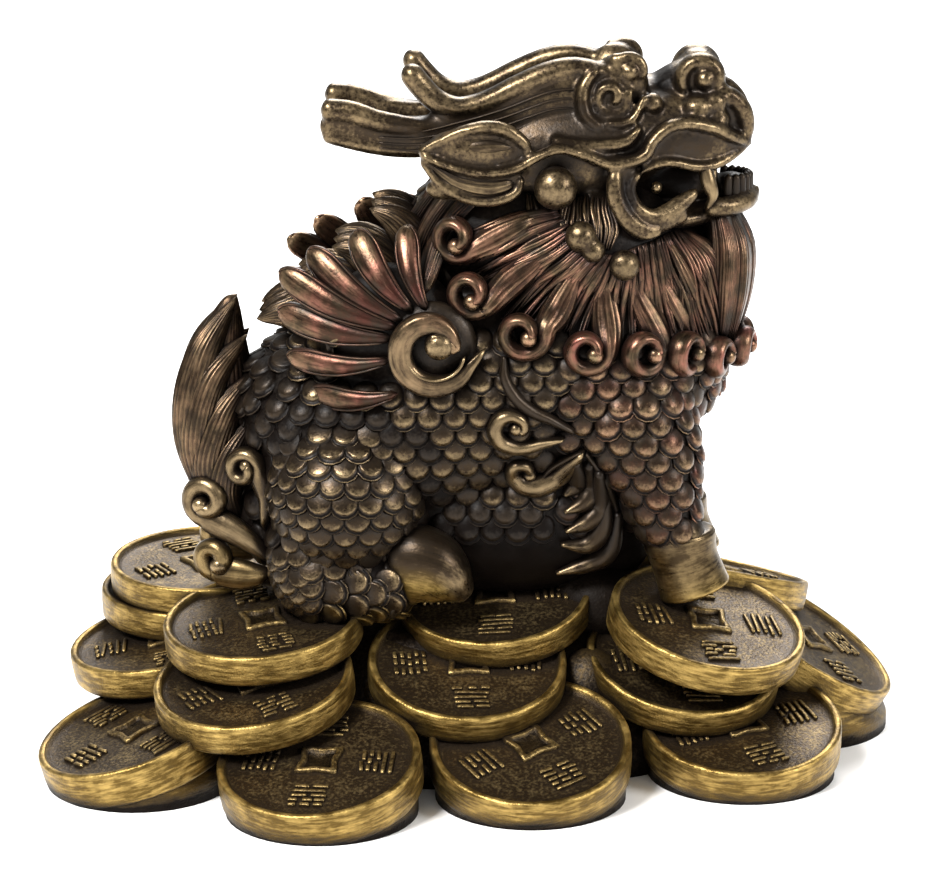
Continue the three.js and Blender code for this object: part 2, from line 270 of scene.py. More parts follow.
def points_of(mesh):
    places = np.empty(len(mesh.vertices) * 3)
    mesh.vertices.foreach_get("co", places)
    return places.reshape(-1, 3)


def unit(rows):
    return rows / np.maximum(np.linalg.norm(rows, axis=-1, keepdims=True), 1e-9)


def spun(angle):
    """The turn that carries rows of places round Z by an angle."""
    c, s = math.cos(angle), math.sin(angle)
    return np.array([[c, s, 0], [-s, c, 0], [0, 0, 1]])


def smooth_line(points, t):
    """Places at t, from 0 to 1, on a smooth curve through the points."""
    p = np.asarray(points, float)
    p = np.vstack([2 * p[0] - p[1], p, 2 * p[-1] - p[-2]])
    place = np.clip(t, 0, 1) * (len(points) - 1)
    i = np.minimum(place.astype(int), len(points) - 2)
    f = (place - i)[:, None]
    a, b, c, d = p[i], p[i + 1], p[i + 2], p[i + 3]
    return b + 0.5 * f * (c - a + f * (2 * a - 5 * b + 4 * c - d + f * (3 * (b - c) + d - a)))


def along(values, t, least=0.04):
    """A size read from a short list spread evenly from root to tip."""
    if len(values) == 1:
        return np.full(len(t), float(values[0]))
    return np.maximum(smooth_line(np.asarray(values, float)[:, None], t)[:, 0], least)


class Clay:
    """Shapes gathered in millimetres. Each point also has its copper, its gold, how dark it stays as
    bare resin and as painted shade, and its place drawn together along the brush's way."""

    def __init__(self):
        self.bm = bmesh.new()
        self.paint = []

    def add(self, shape, places, *, copper=0.0, gold=0.0, bare=0.0, brushed=None, both=True):
        """Adds a shape with its points at places, and again on the animal's left side."""
        rows = np.zeros((len(places), 6))
        for k, share in enumerate((copper, gold, bare)):
            rows[:, k] = share(places) if callable(share) else share
        rows[:, 3:] = places if brushed is None else brushed
        copy = shape.copy()
        for side in (1, -1) if both else (1,):
            copy.vertices.foreach_set("co", (places * (1, side, 1)).ravel())
            self.bm.from_mesh(copy)
            self.paint.append(rows)
        bpy.data.meshes.remove(copy)

    def ball(self, centre, halves, *, fineness=3, pitch=0, **more):
        """A ball stretched to half sizes and tipped about Y by a pitch in degrees."""
        if not hasattr(halves, "__len__"):
            halves = (halves, halves, halves)
        shape = ball(fineness)
        places = points_of(shape) * halves
        c, s = math.cos(math.radians(pitch)), math.sin(math.radians(pitch))
        places = places @ np.array([[c, 0, s], [0, 1, 0], [-s, 0, c]])
        self.add(shape, places + centre, **more)

    def bent(self, points, widths, depths, *, facing=RIGHT, sides=12, steps=16, ridges=0, deep=0.0,
             blunt=(0, 0), flat=0.0, copper=0.0, gold=0.0, bare=0.0, brushed_round=False, both=True):
        """A bar bent along points, with half widths and half depths from root to tip. Facing is
        where its depth points, as one direction or one for each point. Ridges run along it, blunt
        says over what share of its length each end is rounded off, and flat squares its section.
        Paint may be lists from root to tip."""
        shape = bar(sides, steps)
        local = points_of(shape)
        t = local[:, 2]
        place = smooth_line(points, t)
        ahead = unit(smooth_line(points, t + 0.004) - smooth_line(points, t - 0.004))
        outward = np.asarray(facing, float)
        if outward.ndim > 1:
            outward = smooth_line(outward, t)
        across = unit(np.cross(outward, ahead))
        proud = np.cross(ahead, across)
        size = np.ones(len(t))
        for share, end in zip(blunt, (t, 1 - t)):
            if share:
                into = np.clip(1 - end / share, 0, 0.98)
                size *= np.sqrt(1 - into * into)
        angle = np.arctan2(local[:, 1], local[:, 0])
        rim = size * np.hypot(local[:, 0], local[:, 1])
        if ridges:
            groove = along(deep, t, 0) if isinstance(deep, list) else deep
            combing = np.cos(ridges * angle + 0.9 * np.sin(6 * t) + 0.8 * np.sin(3 * angle))
            rim = rim * (1 + groove * combing)
        sx, sy = np.cos(angle), np.sin(angle)
        if flat:
            sx = np.sign(sx) * np.abs(sx) ** (1 - flat)
            sy = np.sign(sy) * np.abs(sy) ** (1 - flat)
        wide = rim * sx * along(widths, t)
        high = rim * sy * along(depths, t)
        length = np.linalg.norm(np.diff(np.asarray(points, float), axis=0), axis=1).sum()
        brushed = np.stack([wide, high, t * length / BRUSH_LONG], axis=1)
        if brushed_round:
            brushed = np.stack([wide / BRUSH_LONG, high / BRUSH_LONG, t * length], axis=1)
        brushed = brushed + np.asarray(points[0]) * 3
        copper, gold, bare = [along(share, t, 0) if isinstance(share, list) else share
                              for share in (copper, gold, bare)]
        self.add(shape, place + across * wide[:, None] + proud * high[:, None], copper=copper,
                 gold=gold, bare=bare, brushed=brushed, both=both)


def spiral(centre, facing, outer, inner, start, turn, rise=0.0, steps=14):
    """Points that wind inwards, clockwise as seen from where they face. Angles are clock angles in
    degrees: 0 is up and 90 is to the right."""
    out = unit(np.asarray(facing, float))
    right = unit(np.cross(UP, out))
    up = np.cross(out, right)
    t = np.linspace(0, 1, steps + 1)
    angle = np.radians(start + turn * t)
    radius = outer + (inner - outer) * t ** 1.25
    flat = np.sin(angle)[:, None] * right + np.cos(angle)[:, None] * up
    return np.asarray(centre, float) + flat * radius[:, None] + out * (rise * t)[:, None]


def bearing(degrees):
    """Where a piece on the right side faces when it is turned towards the chest."""
    return (math.sin(math.radians(degrees)), -math.cos(math.radians(degrees)), 0)


def remeshed(clay, voxel, passes, bare=0.0):
    """The clay run together into one skin, with its creases softened."""
    lump = placed("clay", mesh_of(clay.bm, "clay"))
    remesh = lump.modifiers.new("remesh", "REMESH")
    remesh.mode = "VOXEL"
    remesh.voxel_size = voxel
    done = lump.evaluated_get(bpy.context.evaluated_depsgraph_get())
    bm = bmesh.new()
    bm.from_mesh(done.to_mesh())
    done.to_mesh_clear()
    bpy.data.objects.remove(lump)
    for _ in range(passes):
        bmesh.ops.smooth_vert(bm, verts=bm.verts, factor=0.5, use_axis_x=True, use_axis_y=True,
                              use_axis_z=True)
    skin = Clay()
    skin.bm = bm
    places = np.array([v.co for v in bm.verts])
    rows = np.zeros((len(places), 6))
    rows[:, 2] = bare(places) if callable(bare) else bare
    rows[:, 3:] = places
    skin.paint = [rows]
    return skin


# The rise of a point over its neighbours, as a share of their distance, that is all paint
FULLY_WORN = 0.55


def proudness(mesh):
    """How sharply each point stands out from its neighbours, from 0 in a groove to 1 on an edge."""
    count = len(mesh.vertices)
    places = points_of(mesh)
    normals = np.empty(count * 3)
    mesh.vertices.foreach_get("normal", normals)
    ends = np.empty(len(mesh.edges) * 2, int)
    mesh.edges.foreach_get("vertices", ends)
    a, b = ends.reshape(-1, 2).T
    near = np.maximum(np.bincount(a, minlength=count) + np.bincount(b, minlength=count), 1)

    def around(values):
        return (np.bincount(a, values[b], count) + np.bincount(b, values[a], count)) / near

    away = places - np.stack([around(places[:, k]) for k in range(3)], axis=1)
    long = np.linalg.norm(places[a] - places[b], axis=1)
    reach = (np.bincount(a, long, count) + np.bincount(b, long, count)) / near
    rise = np.einsum("ij,ij->i", away, normals.reshape(-1, 3)) / np.maximum(reach, 1e-9)
    rise = 0.6 * rise + 0.4 * around(rise)
    return np.clip(0.5 + rise / (2 * FULLY_WORN), 0, 1)


def finished(name, clay, material):
    """Brings clay to the frame as a piece of the casting."""
    bm = clay.bm
    bmesh.ops.recalc_face_normals(bm, faces=bm.faces)
    bmesh.ops.translate(bm, verts=bm.verts, vec=(-MIDDLE_X, 0, 0))
    bmesh.ops.scale(bm, verts=bm.verts, vec=(MM, MM, MM))
    for face in bm.faces:
        face.smooth = True
    mesh = mesh_of(bm, name)
    paint = np.concatenate(clay.paint)
    colours = np.empty((len(paint), 4))
    colours[:, 0] = proudness(mesh)
    colours[:, 1:3] = paint[:, :2]
    # the last channel is how painted a point is, less its bare resin and its painted shade
    colours[:, 3] = 1 - paint[:, 2]
    painting = mesh.attributes.new("paint", "FLOAT_COLOR", "POINT")
    painting.data.foreach_set("color", colours.ravel())
    brushing = mesh.attributes.new("brushed", "FLOAT_VECTOR", "POINT")
    brushing.data.foreach_set("vector", paint[:, 3:].ravel())
    mesh.materials.append(material)
    piece = placed(name, mesh)
    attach(piece, "root")
    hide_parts("qilin_on_coins")


# The heap of coins

COIN_RADIUS = 14.5
COIN_THICK = 4.6
LOWEST_THICK = 5.6
COIN_RIM = 1.15
COIN_SINK = 0.9
LEDGE_INSET = 0.8
COIN_SIDES = 72
FRAME_HALF = 3.0
FRAME_BOW = 0.13
STROKE_REACH = 8.4  # from a coin's middle to the middle of its rows of strokes
STROKE_ROWS = 5
STROKE_PITCH = 1.05
STROKE_LONG = 5.5
TWIN_SHIFT = 3
TWIN_TURN = 20

# The middle of each coin's top face, the lean of the face, the bearing it leans to and how its
# square hole is turned. A twin lies again on the left side, a little further forwards.
COINS = [
    (0, (-48.5, -21, 8.5), 17, -158, 35, True),
    (0, (-21, -34, 8.5), 15.5, -110, -10, True),
    (0, (9, -28.5, 9), 19, -92, 32, True),
    (0, (40, -18.5, 8.5), 14, -88, 20, True),
    (0, (52.3, 4, 14), 32, -8, 40, False),
    (1, (-45.5, 0, 15.5), 10, -158, 10, False),
    (1, (-31, -21, 16), 13, -118, 25, True),
    (1, (0, -16, 17), 19, -85, 5, True),
    (1, (32, -10.5, 16), 20, -72, 15, True),
    (2, (-41.5, 11, 20), 3, -100, 0, False),
    (2, (-30, -12.5, 22.5), 9, -118, 15, False),
    (2, (-40, 11, 24), 3, -100, 30, False),
    (2, (4, -4.7, 24), 17, -102, 0, False),
    (2, (6, 9.3, 25.2), 17, 102, 20, False),
    (2, (35.3, -13, 22.5), 17.5, -47, 10, True),
]


def all_coins():
    for layer, place, tilt, lean, turn, twin in COINS:
        yield layer, place, tilt, lean, turn
        if twin:
            x, y, z = place
            yield layer, (x + TWIN_SHIFT, -y, z), tilt, -lean, turn + TWIN_TURN


def coin_axes(tilt, lean, turn):
    """The directions of a laid coin's own X, Y and Z."""
    sink, way = math.radians(tilt), math.radians(lean)
    up = Vector((math.sin(sink) * math.cos(way), math.sin(sink) * math.sin(way), math.cos(sink)))
    rest = Vector((0, 0, 1)).rotation_difference(up).to_matrix()
    spin = math.radians(turn)
    x = rest @ Vector((math.cos(spin), math.sin(spin), 0))
    y = rest @ Vector((-math.sin(spin), math.cos(spin), 0))
    return np.array([x, y, up])


def coin_profile(thick):
    """Half a coin's section: a narrow rim round a sunk field."""
    r, t, rim, sink = COIN_RADIUS, thick, COIN_RIM, COIN_SINK
    return (
        (0, -t), (r * 0.6, -t), (r - 0.8, -t), (r - 0.3, -t + 0.12), (r - 0.04, -t + 0.5), (r, -t + 1.2),
        (r + 0.04, -t / 2), (r, -0.8), (r - 0.05, -0.3), (r - 0.22, -0.06), (r - 0.5, 0),
        (r - rim + 0.25, -0.05), (r - rim, -0.32), (r - rim - 0.15, -sink + 0.15),
        (r - rim - 0.5, -sink), (r * 0.72, -sink), (r * 0.52, -sink), (r * 0.3, -sink), (0, -sink),
    )


# Half the section of the raised frame round a coin's square hole, with the hole's floor sunk
FRAME_SECTION = ((0, -0.55), (0.66, -0.55), (0.7, -0.05), (0.76, 0.06), (0.92, 0.04), (1, -0.1),
                 (1.03, -1.2), (0, -1.2))
FRAME_HIGH = 0.55


@functools.cache
def stroke():
    """A short raised bar with softened edges."""
    bm = bmesh.new()
    bmesh.ops.create_cube(bm, size=1)
    bmesh.ops.bevel(bm, geom=bm.edges[:], offset=0.12, affect="EDGES", segments=1, profile=0.5,
                    material=-1)
    return mesh_of(bm, "stroke")


def coin(clay, place, axes, layer):
    disc = turned(coin_profile(COIN_THICK if layer else LOWEST_THICK), COIN_SIDES)
    local = points_of(disc).copy()
    around = np.arctan2(local[:, 1], local[:, 0])
    radius = np.hypot(local[:, 0], local[:, 1])
    # the master coins were cut by hand, so none of them is quite round
    phase = chance.uniform(0, math.tau, 3)
    sway = sum(np.sin(k * around + p) / k for k, p in zip((2, 3, 5), phase))
    local[:, :2] *= (1 + 0.006 * sway * (radius / COIN_RADIUS))[:, None]
    rim = np.clip((radius - (COIN_RADIUS - COIN_RIM - 0.2)) / 0.25, 0, 1)
    # the brush ran round the rim
    brushed = local / np.stack([1 + (BRUSH_LONG - 1) * rim] * 2 + [np.ones(len(rim))], axis=1)
    places = local @ axes + place
    places[:, 2] = np.maximum(places[:, 2], 0.05)
    clay.add(disc, places, gold=rim, brushed=brushed + np.asarray(place) * 3, both=False)
    square = turned(FRAME_SECTION, 32)
    ring = points_of(square).copy()
    turn = np.arctan2(ring[:, 1], ring[:, 0])
    corner = np.maximum(np.abs(np.cos(turn)), np.abs(np.sin(turn)))
    ring[:, :2] *= (FRAME_HALF * (1 - FRAME_BOW * np.cos(2 * turn) ** 2) / corner)[:, None]
    ring[:, 2] += FRAME_HIGH - COIN_SINK
    clay.add(square, ring @ axes + place, gold=0.35, both=False)
    for quarter in range(4):
        inscription(clay, place, axes, quarter * math.pi / 2)


def inscription(clay, place, axes, turn):
    """Rows of short shallow strokes, which spell nothing."""
    lean = chance.uniform(-0.15, 0.15)
    for row in range(STROKE_ROWS):
        parts = int(chance.integers(1, 4))
        share = STROKE_LONG / parts
        for part in range(parts):
            way = spun(math.pi / 2 + lean + chance.uniform(-0.06, 0.06))
            spot = (STROKE_REACH + (row - (STROKE_ROWS - 1) / 2) * STROKE_PITCH,
                    (part - (parts - 1) / 2) * share + chance.uniform(-0.3, 0.3), -COIN_SINK + 0.05)
            bit = points_of(stroke()) * (share - chance.uniform(0.3, 0.8), 0.58, 0.8) @ way + spot
            clay.add(stroke(), bit @ spun(turn) @ axes + place, gold=0.3, both=False)


def ledge(clay, place, axes):
    """The casting below a lowest coin, drawn in a little and flat on the table."""
    column = turned(((0, 0), (1, 0), (1, 0.5), (1, 1), (0, 1)), 48)
    radius = COIN_RADIUS - LEDGE_INSET
    local = points_of(column) * (radius, radius, 1)
    under = np.asarray(place) - axes[2] * (COIN_THICK - 0.5)
    local[:, :2] += under[:2]
    plane = under[2] - ((local[:, :2] - under[:2]) @ axes[2][:2]) / axes[2][2]
    local[:, 2] *= np.maximum(plane, 0.4)
    clay.add(column, local, gold=0.8, bare=np.clip(1 - local[:, 2] / 2.5, 0.35, 1),
             brushed=local / (BRUSH_LONG, BRUSH_LONG, 1), both=False)


# The solid heart under the coins and the resin that closes the gaps between the stacks, both darkened as
# painted shade for the recesses between the coins
HEART = ((0, 0), (42, 0), (41, 4), (34, 9.5), (24, 16.5), (20, 19), (0, 19))
FILLING = [
    ((-11, -14, 8), (6, 5, 7)),
    ((18, -12, 9), (6, 5, 8)),
]


def heap():
    coins, dark = Clay(), Clay()
    for layer, place, tilt, lean, turn in all_coins():
        axes = coin_axes(tilt, lean, turn)
        coin(coins, place, axes, layer)
        if layer == 0:
            ledge(dark, place, axes)
    heart = turned(HEART, 48)
    # painted shade: the heart is kept dark, and a lump under the belly black
    dark.add(heart, points_of(heart) * (1, 0.6, 1) - (1, 0, 0), bare=0.7, both=False)
    dark.ball((19.5, 0, 21.5), (8, 9, 6.5), bare=1, both=False)
    for middle, halves in FILLING:
        dark.ball(middle, halves, gold=0.4, bare=0.55)
    finished("coins", coins, coinage)
    finished("heap_heart", dark, coinage)


# The animal. Its limbs and trunk are lines with half widths and half depths.

THIGH = (-17.5, -9, 41)
THIGH_HALVES = (11.3, 10.8, 12.3)
SOLE = [(-21.5, -8.5, 37), (-20.5, -10.5, 28), (-14, -11.8, 27), (-9, -12.2, 27.3)]
SOLE_WIDE = [7, 7.3, 5.2, 4.4]
SOLE_DEEP = [6, 6, 5, 4.6]
ARM = [(20, -8, 58), (26, -8.5, 46), (28.5, -9, 38), (31, -9, 31)]
ARM_WIDE = [11, 7.8, 5.1, 3.9]
ARM_DEEP = [8, 7, 5.6, 4.4]
SPINE = [(-32, 0, 42), (-24, 0, 46), (-11, 0, 50), (4, 0, 56), (20, 0, 57.5), (30, 0, 56.5), (37, 0, 54)]
SPINE_WIDE = [5, 14, 16, 16, 15, 12, 4]
SPINE_DEEP = [7, 15, 17, 18, 18.5, 15.5, 6]
BODY_VOXEL = 0.7
BELLY_Z = 36


def hide_painted_shade(places):
    """Painted shade: the hide between the scales is kept mostly dark, and darker still low on the belly,
    below BELLY_Z.
    """
    return np.clip(0.75 + (BELLY_Z - places[:, 2]) / 8, 0.75, 1)


def modelled_body():
    """The smooth body under the scales and hair, run together."""
    clay = Clay()
    clay.bent(SPINE, SPINE_WIDE, SPINE_DEEP, facing=UP, sides=32, steps=32, blunt=(0.1, 0.1), both=False)
    clay.ball((6, 0, 37), (23, 12, 15), both=False)
    clay.ball((-27, 0, 38), (7.5, 9, 12), both=False)
    clay.ball((5, 0, 77), (13, 13, 11.5), both=False)
    clay.ball((16.5, 0, 74), (16, 14, 13.5), both=False)
    clay.ball((30.5, 0, 69), (9, 9.3, 10.5), both=False)
    clay.ball(THIGH, THIGH_HALVES)
    clay.bent(SOLE, SOLE_WIDE, SOLE_DEEP, sides=20, steps=24, blunt=(0.1, 0.06))
    clay.bent(ARM, ARM_WIDE, ARM_DEEP, sides=20, steps=24, blunt=(0.15, 0))
    clay.ball((-11, -12, 66), (10, 4.5, 9))
    clay.ball((21.5, 0, 32), (6.5, 6, 8), both=False)
    return remeshed(clay, BODY_VOXEL, 5, bare=hide_painted_shade)


def laid(points, tree, lift):
    """The points brought to the body's surface and raised from it by a lift."""
    raised = []
    for point in points:
        spot, normal, _, _ = tree.find_nearest(point)
        raised.append(spot + normal * lift)
    return raised


FAR_OFF = 90  # where rays towards the body start
RIGHT_OFF = -60  # and those towards its right flank
WING = (-4.9, -18, 63.7)  # the middle of a wing's scroll
ROOTS_BACK, ROOTS_UP = 4.5, 2  # from there to the middle of the feathers' roots
ROOTS_REACH = 11
ROOTS_Y = 8  # the roots cover what is further out and higher than these
ROOTS_Z = 58
MANE_X, MANE_Z = -3, 64.5  # the mane covers what is further forwards and higher


# Scales. Each is a small shield whose tip stands up over the roots of the next row, with a groove
# and a thin lip beneath the tip.

SCALE_WIDE = 3.65
SCALE_ROW = 2.6
SCALE_LONG = 4.1
SCALE_TILT = 19
SCALE_DEEP = 0.62
SCALE_SIDES = 14
SCALE_LIFT = 0.35
OFF_HIDE = 1.3  # a place further than this from the hide gets no scale
CROWDED = 0.62  # nor one nearer than this share of a scale's width to one of another part
LEG_ROW = 2.75
RUMP_X = -24
RUMP_Z = 47
CREASE = (1.0, 1.25)  # the crease round the thigh, as shares of the thigh's own size
CREASE_Z = 34
BELLY_FROM_X, BELLY_TO_X = -6, 25
BELLY_SCALES_Z = 34.5
LEG_X = 23
LEG_BACK_X = 13
HIND_HOOF_X = -9.5
GOLD_SCALES_Z = 25  # scales lower than this caught some of the coins' gold
LEG_SCALES_Z = 35.5
FLAT_SCALE = ((0, -1.2), (1.3, -1.3), (1.26, -0.72), (1.11, -1.1), (1, 0.1), (0.85, 0.3), (0, 0.26))
PLUMP_SCALE = ((0, -1.2), (1.3, -1.3), (1.26, -0.72), (1.11, -1.1), (1, 0.1), (0.72, 0.65), (0, 0.9))


def scale_points(shape):
    """A scale's points with the groove and lip kept to its tip's side."""
    local = points_of(shape).copy()
    radius = np.hypot(local[:, 0], local[:, 1])
    tipward = np.clip(local[:, 1] / np.maximum(radius, 0.1) * 1.6 + 0.45, 0, 1)
    beyond = radius > 1.02
    shrink = np.where(beyond, (1 + (radius - 1) * tipward) / np.maximum(radius, 0.1), 1)
    local[:, :2] *= shrink[:, None]
    local[:, 2] = np.where(beyond, local[:, 2] * tipward - 0.9 * (1 - tipward), local[:, 2])
    return local


def scale_painted_shade(spot):
    """How much painted shade darkens a scale: by the rump, low on the belly and in the thigh's crease."""
    rump = 0.35 if spot.x < RUMP_X and spot.z > RUMP_Z else 0
    low = min(1, max(0, (BELLY_Z + 6 - spot.z) / 6))
    belly = 0.6 * low if BELLY_FROM_X < spot.x < BELLY_TO_X else 0
    from_thigh = math.hypot((spot.x - THIGH[0]) / THIGH_HALVES[0],
                            (spot.z - THIGH[2]) / THIGH_HALVES[2])
    crease = 0.5 if CREASE[0] < from_thigh < CREASE[1] and spot.z > CREASE_Z else 0
    return max(rump, belly, crease)


class Hide:
    """The scales laid so far, so that no two rows of different parts lie on each other."""

    def __init__(self, tree):
        self.tree = tree
        self.clay = Clay()
        self.taken = np.empty((0, 3))

    def lay(self, spots, profile, copper=0.0, off=None):
        """Lays scales at (place, way the tip points) where the place is on the body's surface."""
        shape = turned(profile, SCALE_SIDES)
        local = scale_points(shape) * (SCALE_WIDE / 2, SCALE_LONG / 2, SCALE_DEEP)
        lean = math.radians(SCALE_TILT)
        tipward = local[:, 1] / (SCALE_LONG / 2)
        out = np.hypot(local[:, 0] / (SCALE_WIDE / 2), tipward)
        # painted shade: each scale is darker at its root, under the row above, and the groove beneath its
        # tip is painted dark as the tip's shadow
        bare = np.clip(0.34 - 0.4 * tipward, 0, 0.7) + 0.9 * ((out > 1.05) & (out < 1.2))
        fresh = []
        for place, way in spots:
            spot, normal, _, gap = self.tree.find_nearest(place)
            if gap > OFF_HIDE or (off and off(spot)):
                continue
            if len(self.taken):
                nearest = np.min(np.linalg.norm(self.taken - spot, axis=1))
                if nearest < SCALE_WIDE * CROWDED:
                    continue
            way = Vector(way)
            tip = way - normal * normal.dot(way)
            if tip.length < 0.15:
                continue
            tip.normalize()
            across = tip.cross(normal)
            raised = tip * math.cos(lean) + normal * math.sin(lean)
            up = normal * math.cos(lean) - tip * math.sin(lean)
            axes = np.array([across, raised, up])
            jitter = 1 + chance.uniform(-0.05, 0.05)
            share = copper * chance.uniform(0.3, 1.3)
            gold = max(0, min(0.8, (GOLD_SCALES_Z - spot.z) / 3))
            self.clay.add(shape, local * jitter @ axes + spot + normal * SCALE_LIFT, copper=share,
                          gold=gold, bare=np.clip(bare + scale_painted_shade(spot), 0, 1), both=False)
            fresh.append(spot)
        if fresh:
            self.taken = np.vstack([self.taken, np.array(fresh)])


def even(points, pitch, shift):
    """Places evenly spaced along a line of points, begun a share of the pitch from its start."""
    steps = np.linalg.norm(np.diff(points, axis=0), axis=1)
    length = np.concatenate([[0], np.cumsum(steps)])
    wanted = np.arange(shift * pitch, length[-1], pitch)
    return np.stack([np.interp(wanted, length, points[:, k]) for k in range(3)], axis=1)


def rows_round_ball(centre, halves, side, low=0.08, high=0.94):
    """Rows of scale places round a ball, one below the other, with their tips down."""
    a, b, c = halves
    rows = int(math.pi * (a + c) / 2 / SCALE_ROW)
    for j in range(rows):
        polar = math.pi * (low + (high - low) * j / (rows - 1))
        for half in (1, -1):
            # each half row starts at the side that shows, so the pattern is even there
            swing = -side * math.pi / 2 + half * np.linspace(0, math.pi, 60)
            ring = np.stack([centre[0] + a * math.sin(polar) * np.cos(swing),
                             centre[1] + b * math.sin(polar) * np.sin(swing),
                             np.full(60, centre[2] + c * math.cos(polar))], axis=1)
            shift = 0.5 if j % 2 else (0 if half > 0 else 1)
            for place in even(ring, SCALE_WIDE, shift):
                yield place, (0, 0, -1)


def rows_round_limb(points, widths, depths, side, first, last, length):
    """Rows of scale places round a limb, with their tips towards its end."""
    rows = int(length / SCALE_ROW)
    for j in range(rows):
        t = np.array([first + (last - first) * j / (rows - 1)])
        middle = smooth_line(points, t)[0]
        ahead = unit(smooth_line(points, t + 0.004) - smooth_line(points, t - 0.004))[0]
        across = unit(np.cross(RIGHT, ahead))
        proud = np.cross(ahead, across)
        wide, deep = along(widths, t)[0], along(depths, t)[0]
        for half in (1, -1):
            turn = math.pi / 2 + half * np.linspace(0, math.pi, 50)
            ring = middle + np.outer(np.cos(turn) * wide, across) + np.outer(np.sin(turn) * deep, proud)
            shift = 0.5 if j % 2 else (0 if half > 0 else 1)
            for place in even(ring, SCALE_WIDE, shift):
                yield place * (1, side, 1), ahead * (1, side, 1)


def rows_seen(tree, way, first, last, reach, row=SCALE_ROW):
    """Rows of scale places where the body faces a viewer who looks along a way. The rows follow
    each other down the body, or backwards along it where the viewer looks down."""
    way = Vector(way)
    down = Vector((-1, 0, 0)) if way.z else Vector((0, 0, -1))
    across = way.cross(down)
    for j in range(int(abs(last - first) / row)):
        for k in range(-reach, reach + 1):
            beside = across * SCALE_WIDE * (k + 0.5 * (j % 2))
            place = -down * (first - j * row) + beside - way * FAR_OFF
            spot, normal, _, _ = tree.ray_cast(place, way)
            if spot is not None and normal.dot(way) < -0.5:
                yield spot, down


def covered(spot):
    """Whether a place is under the mane or under the roots of a wing's feathers."""
    from_roots = math.hypot(spot.x - WING[0] + ROOTS_BACK, spot.z - WING[2] - ROOTS_UP)
    under_wing = from_roots < ROOTS_REACH and abs(spot.y) > ROOTS_Y and spot.z > ROOTS_Z
    return under_wing or spot.z > MANE_Z and spot.x > MANE_X


def smooth(spot):
    """Whether a place is under the belly or by a fore hoof, where the hide is smooth."""
    under_belly = spot.z < BELLY_SCALES_Z and BELLY_FROM_X < spot.x < BELLY_TO_X
    return under_belly or spot.z < LEG_SCALES_Z and spot.x > LEG_X


def scales(tree):
    hide = Hide(tree)
    for side in (1, -1):
        hide.lay(rows_round_ball(THIGH, THIGH_HALVES, side), FLAT_SCALE)
        sole = rows_round_limb(SOLE, SOLE_WIDE, SOLE_DEEP, side, 0.45, 0.97, 14)
        hide.lay(sole, FLAT_SCALE, off=lambda spot: spot.x > HIND_HOOF_X)
        heel = ((place, (0.15, 0, -1)) for place, _ in
                rows_round_ball((-21, -9.5 * side, 31), (8.5, 7.5, 8.5), side, low=0.35, high=0.8))
        hide.lay(heel, FLAT_SCALE, off=lambda spot: spot.x > HIND_HOOF_X)
    for side in (1, -1):
        leg = rows_seen(tree, (0, side, 0), 66, 33, 12, row=LEG_ROW)
        hide.lay(leg, PLUMP_SCALE, copper=0.4, off=lambda spot: spot.x < LEG_BACK_X or covered(spot))
        flank = rows_seen(tree, (0, side, 0), 72, 25, 12)
        hide.lay(flank, PLUMP_SCALE, off=lambda spot: covered(spot) or smooth(spot))
    chest = rows_seen(tree, (-1, 0, 0), 66, 35, 6, row=LEG_ROW)
    hide.lay(chest, PLUMP_SCALE, copper=0.6, off=covered)
    hide.lay(rows_seen(tree, (1, 0, 0), 66, 25, 6), FLAT_SCALE)
    hide.lay(rows_seen(tree, (0, 0, -1), 5, -36, 6), FLAT_SCALE, off=covered)
    return hide.clay


# The wings. A scroll covers the roots of a fan of feathers. Each feather is given by its root and
# its tip, from the lowest to the one by the neck.

FEATHERS = [
    ((-11.5, 57), (-22.6, 57.6)),
    ((-12.4, 61.7), (-25.9, 62.7)),
    ((-12, 65.1), (-27.1, 69.4)),
    ((-11.3, 67), (-26.8, 75.1)),
    ((-10.4, 68.2), (-22.6, 78.2)),
    ((-8.8, 70.1), (-15.8, 81)),
    ((-6.2, 70.4), (-8.6, 81.6)),
]
FEATHER_LEAN = 5.4  # how far a feather's tip stands in over the back from its root
FEATHER_DROP = 1.45  # how far that brings the tip down


def wing():
    clay = Clay()
    coil = spiral(WING, RIGHT, 5.9, 2.9, 95, 345, rise=0.7, steps=16)
    coil[0] += (1.6, 0.6, 0.5)
    bead = np.array(WING) + (0.9, -1.2, 0.8)
    path = np.vstack([coil, bead + (-0.4, 0, 1.0), bead])
    clay.bent(path, [0.3, 1.1, 1.5, 1.65, 1.75, 1.75, 1.7, 1.6, 1.4, 1.2, 1, 1.2],
              [0.9, 1.5, 1.7, 1.7, 1.6], sides=20, steps=84, flat=0.45, blunt=(0.03, 0.05),
              copper=[0.0, 0.1, 0.1, 0.3, 0.1])
    # the raised inner edge of the scroll
    edge = spiral(np.array(WING) + (0, -1.2, 0), RIGHT, 4.6, 3, 100, 300, rise=0.3, steps=12)
    clay.bent(edge, [0.3], [0.6], sides=8, steps=60, blunt=(0.03, 0.03))
    clay.ball(bead + (0, -0.3, 0), (2.1, 1.7, 2.1))
    # the fill behind the feathers' roots, half darkened as painted shade
    clay.ball((-5, -15.4, 63.5), (6.4, 2.2, 6.6), bare=0.4)
    for i, (root, tip) in enumerate(FEATHERS):
        depth = -16.4 - 0.25 * (i % 2) - 1.2 * (i == 0)
        feather(clay, root, tip, depth, 2.1 if 1 < i < 6 else 1.7, copper=0.8)
    return clay


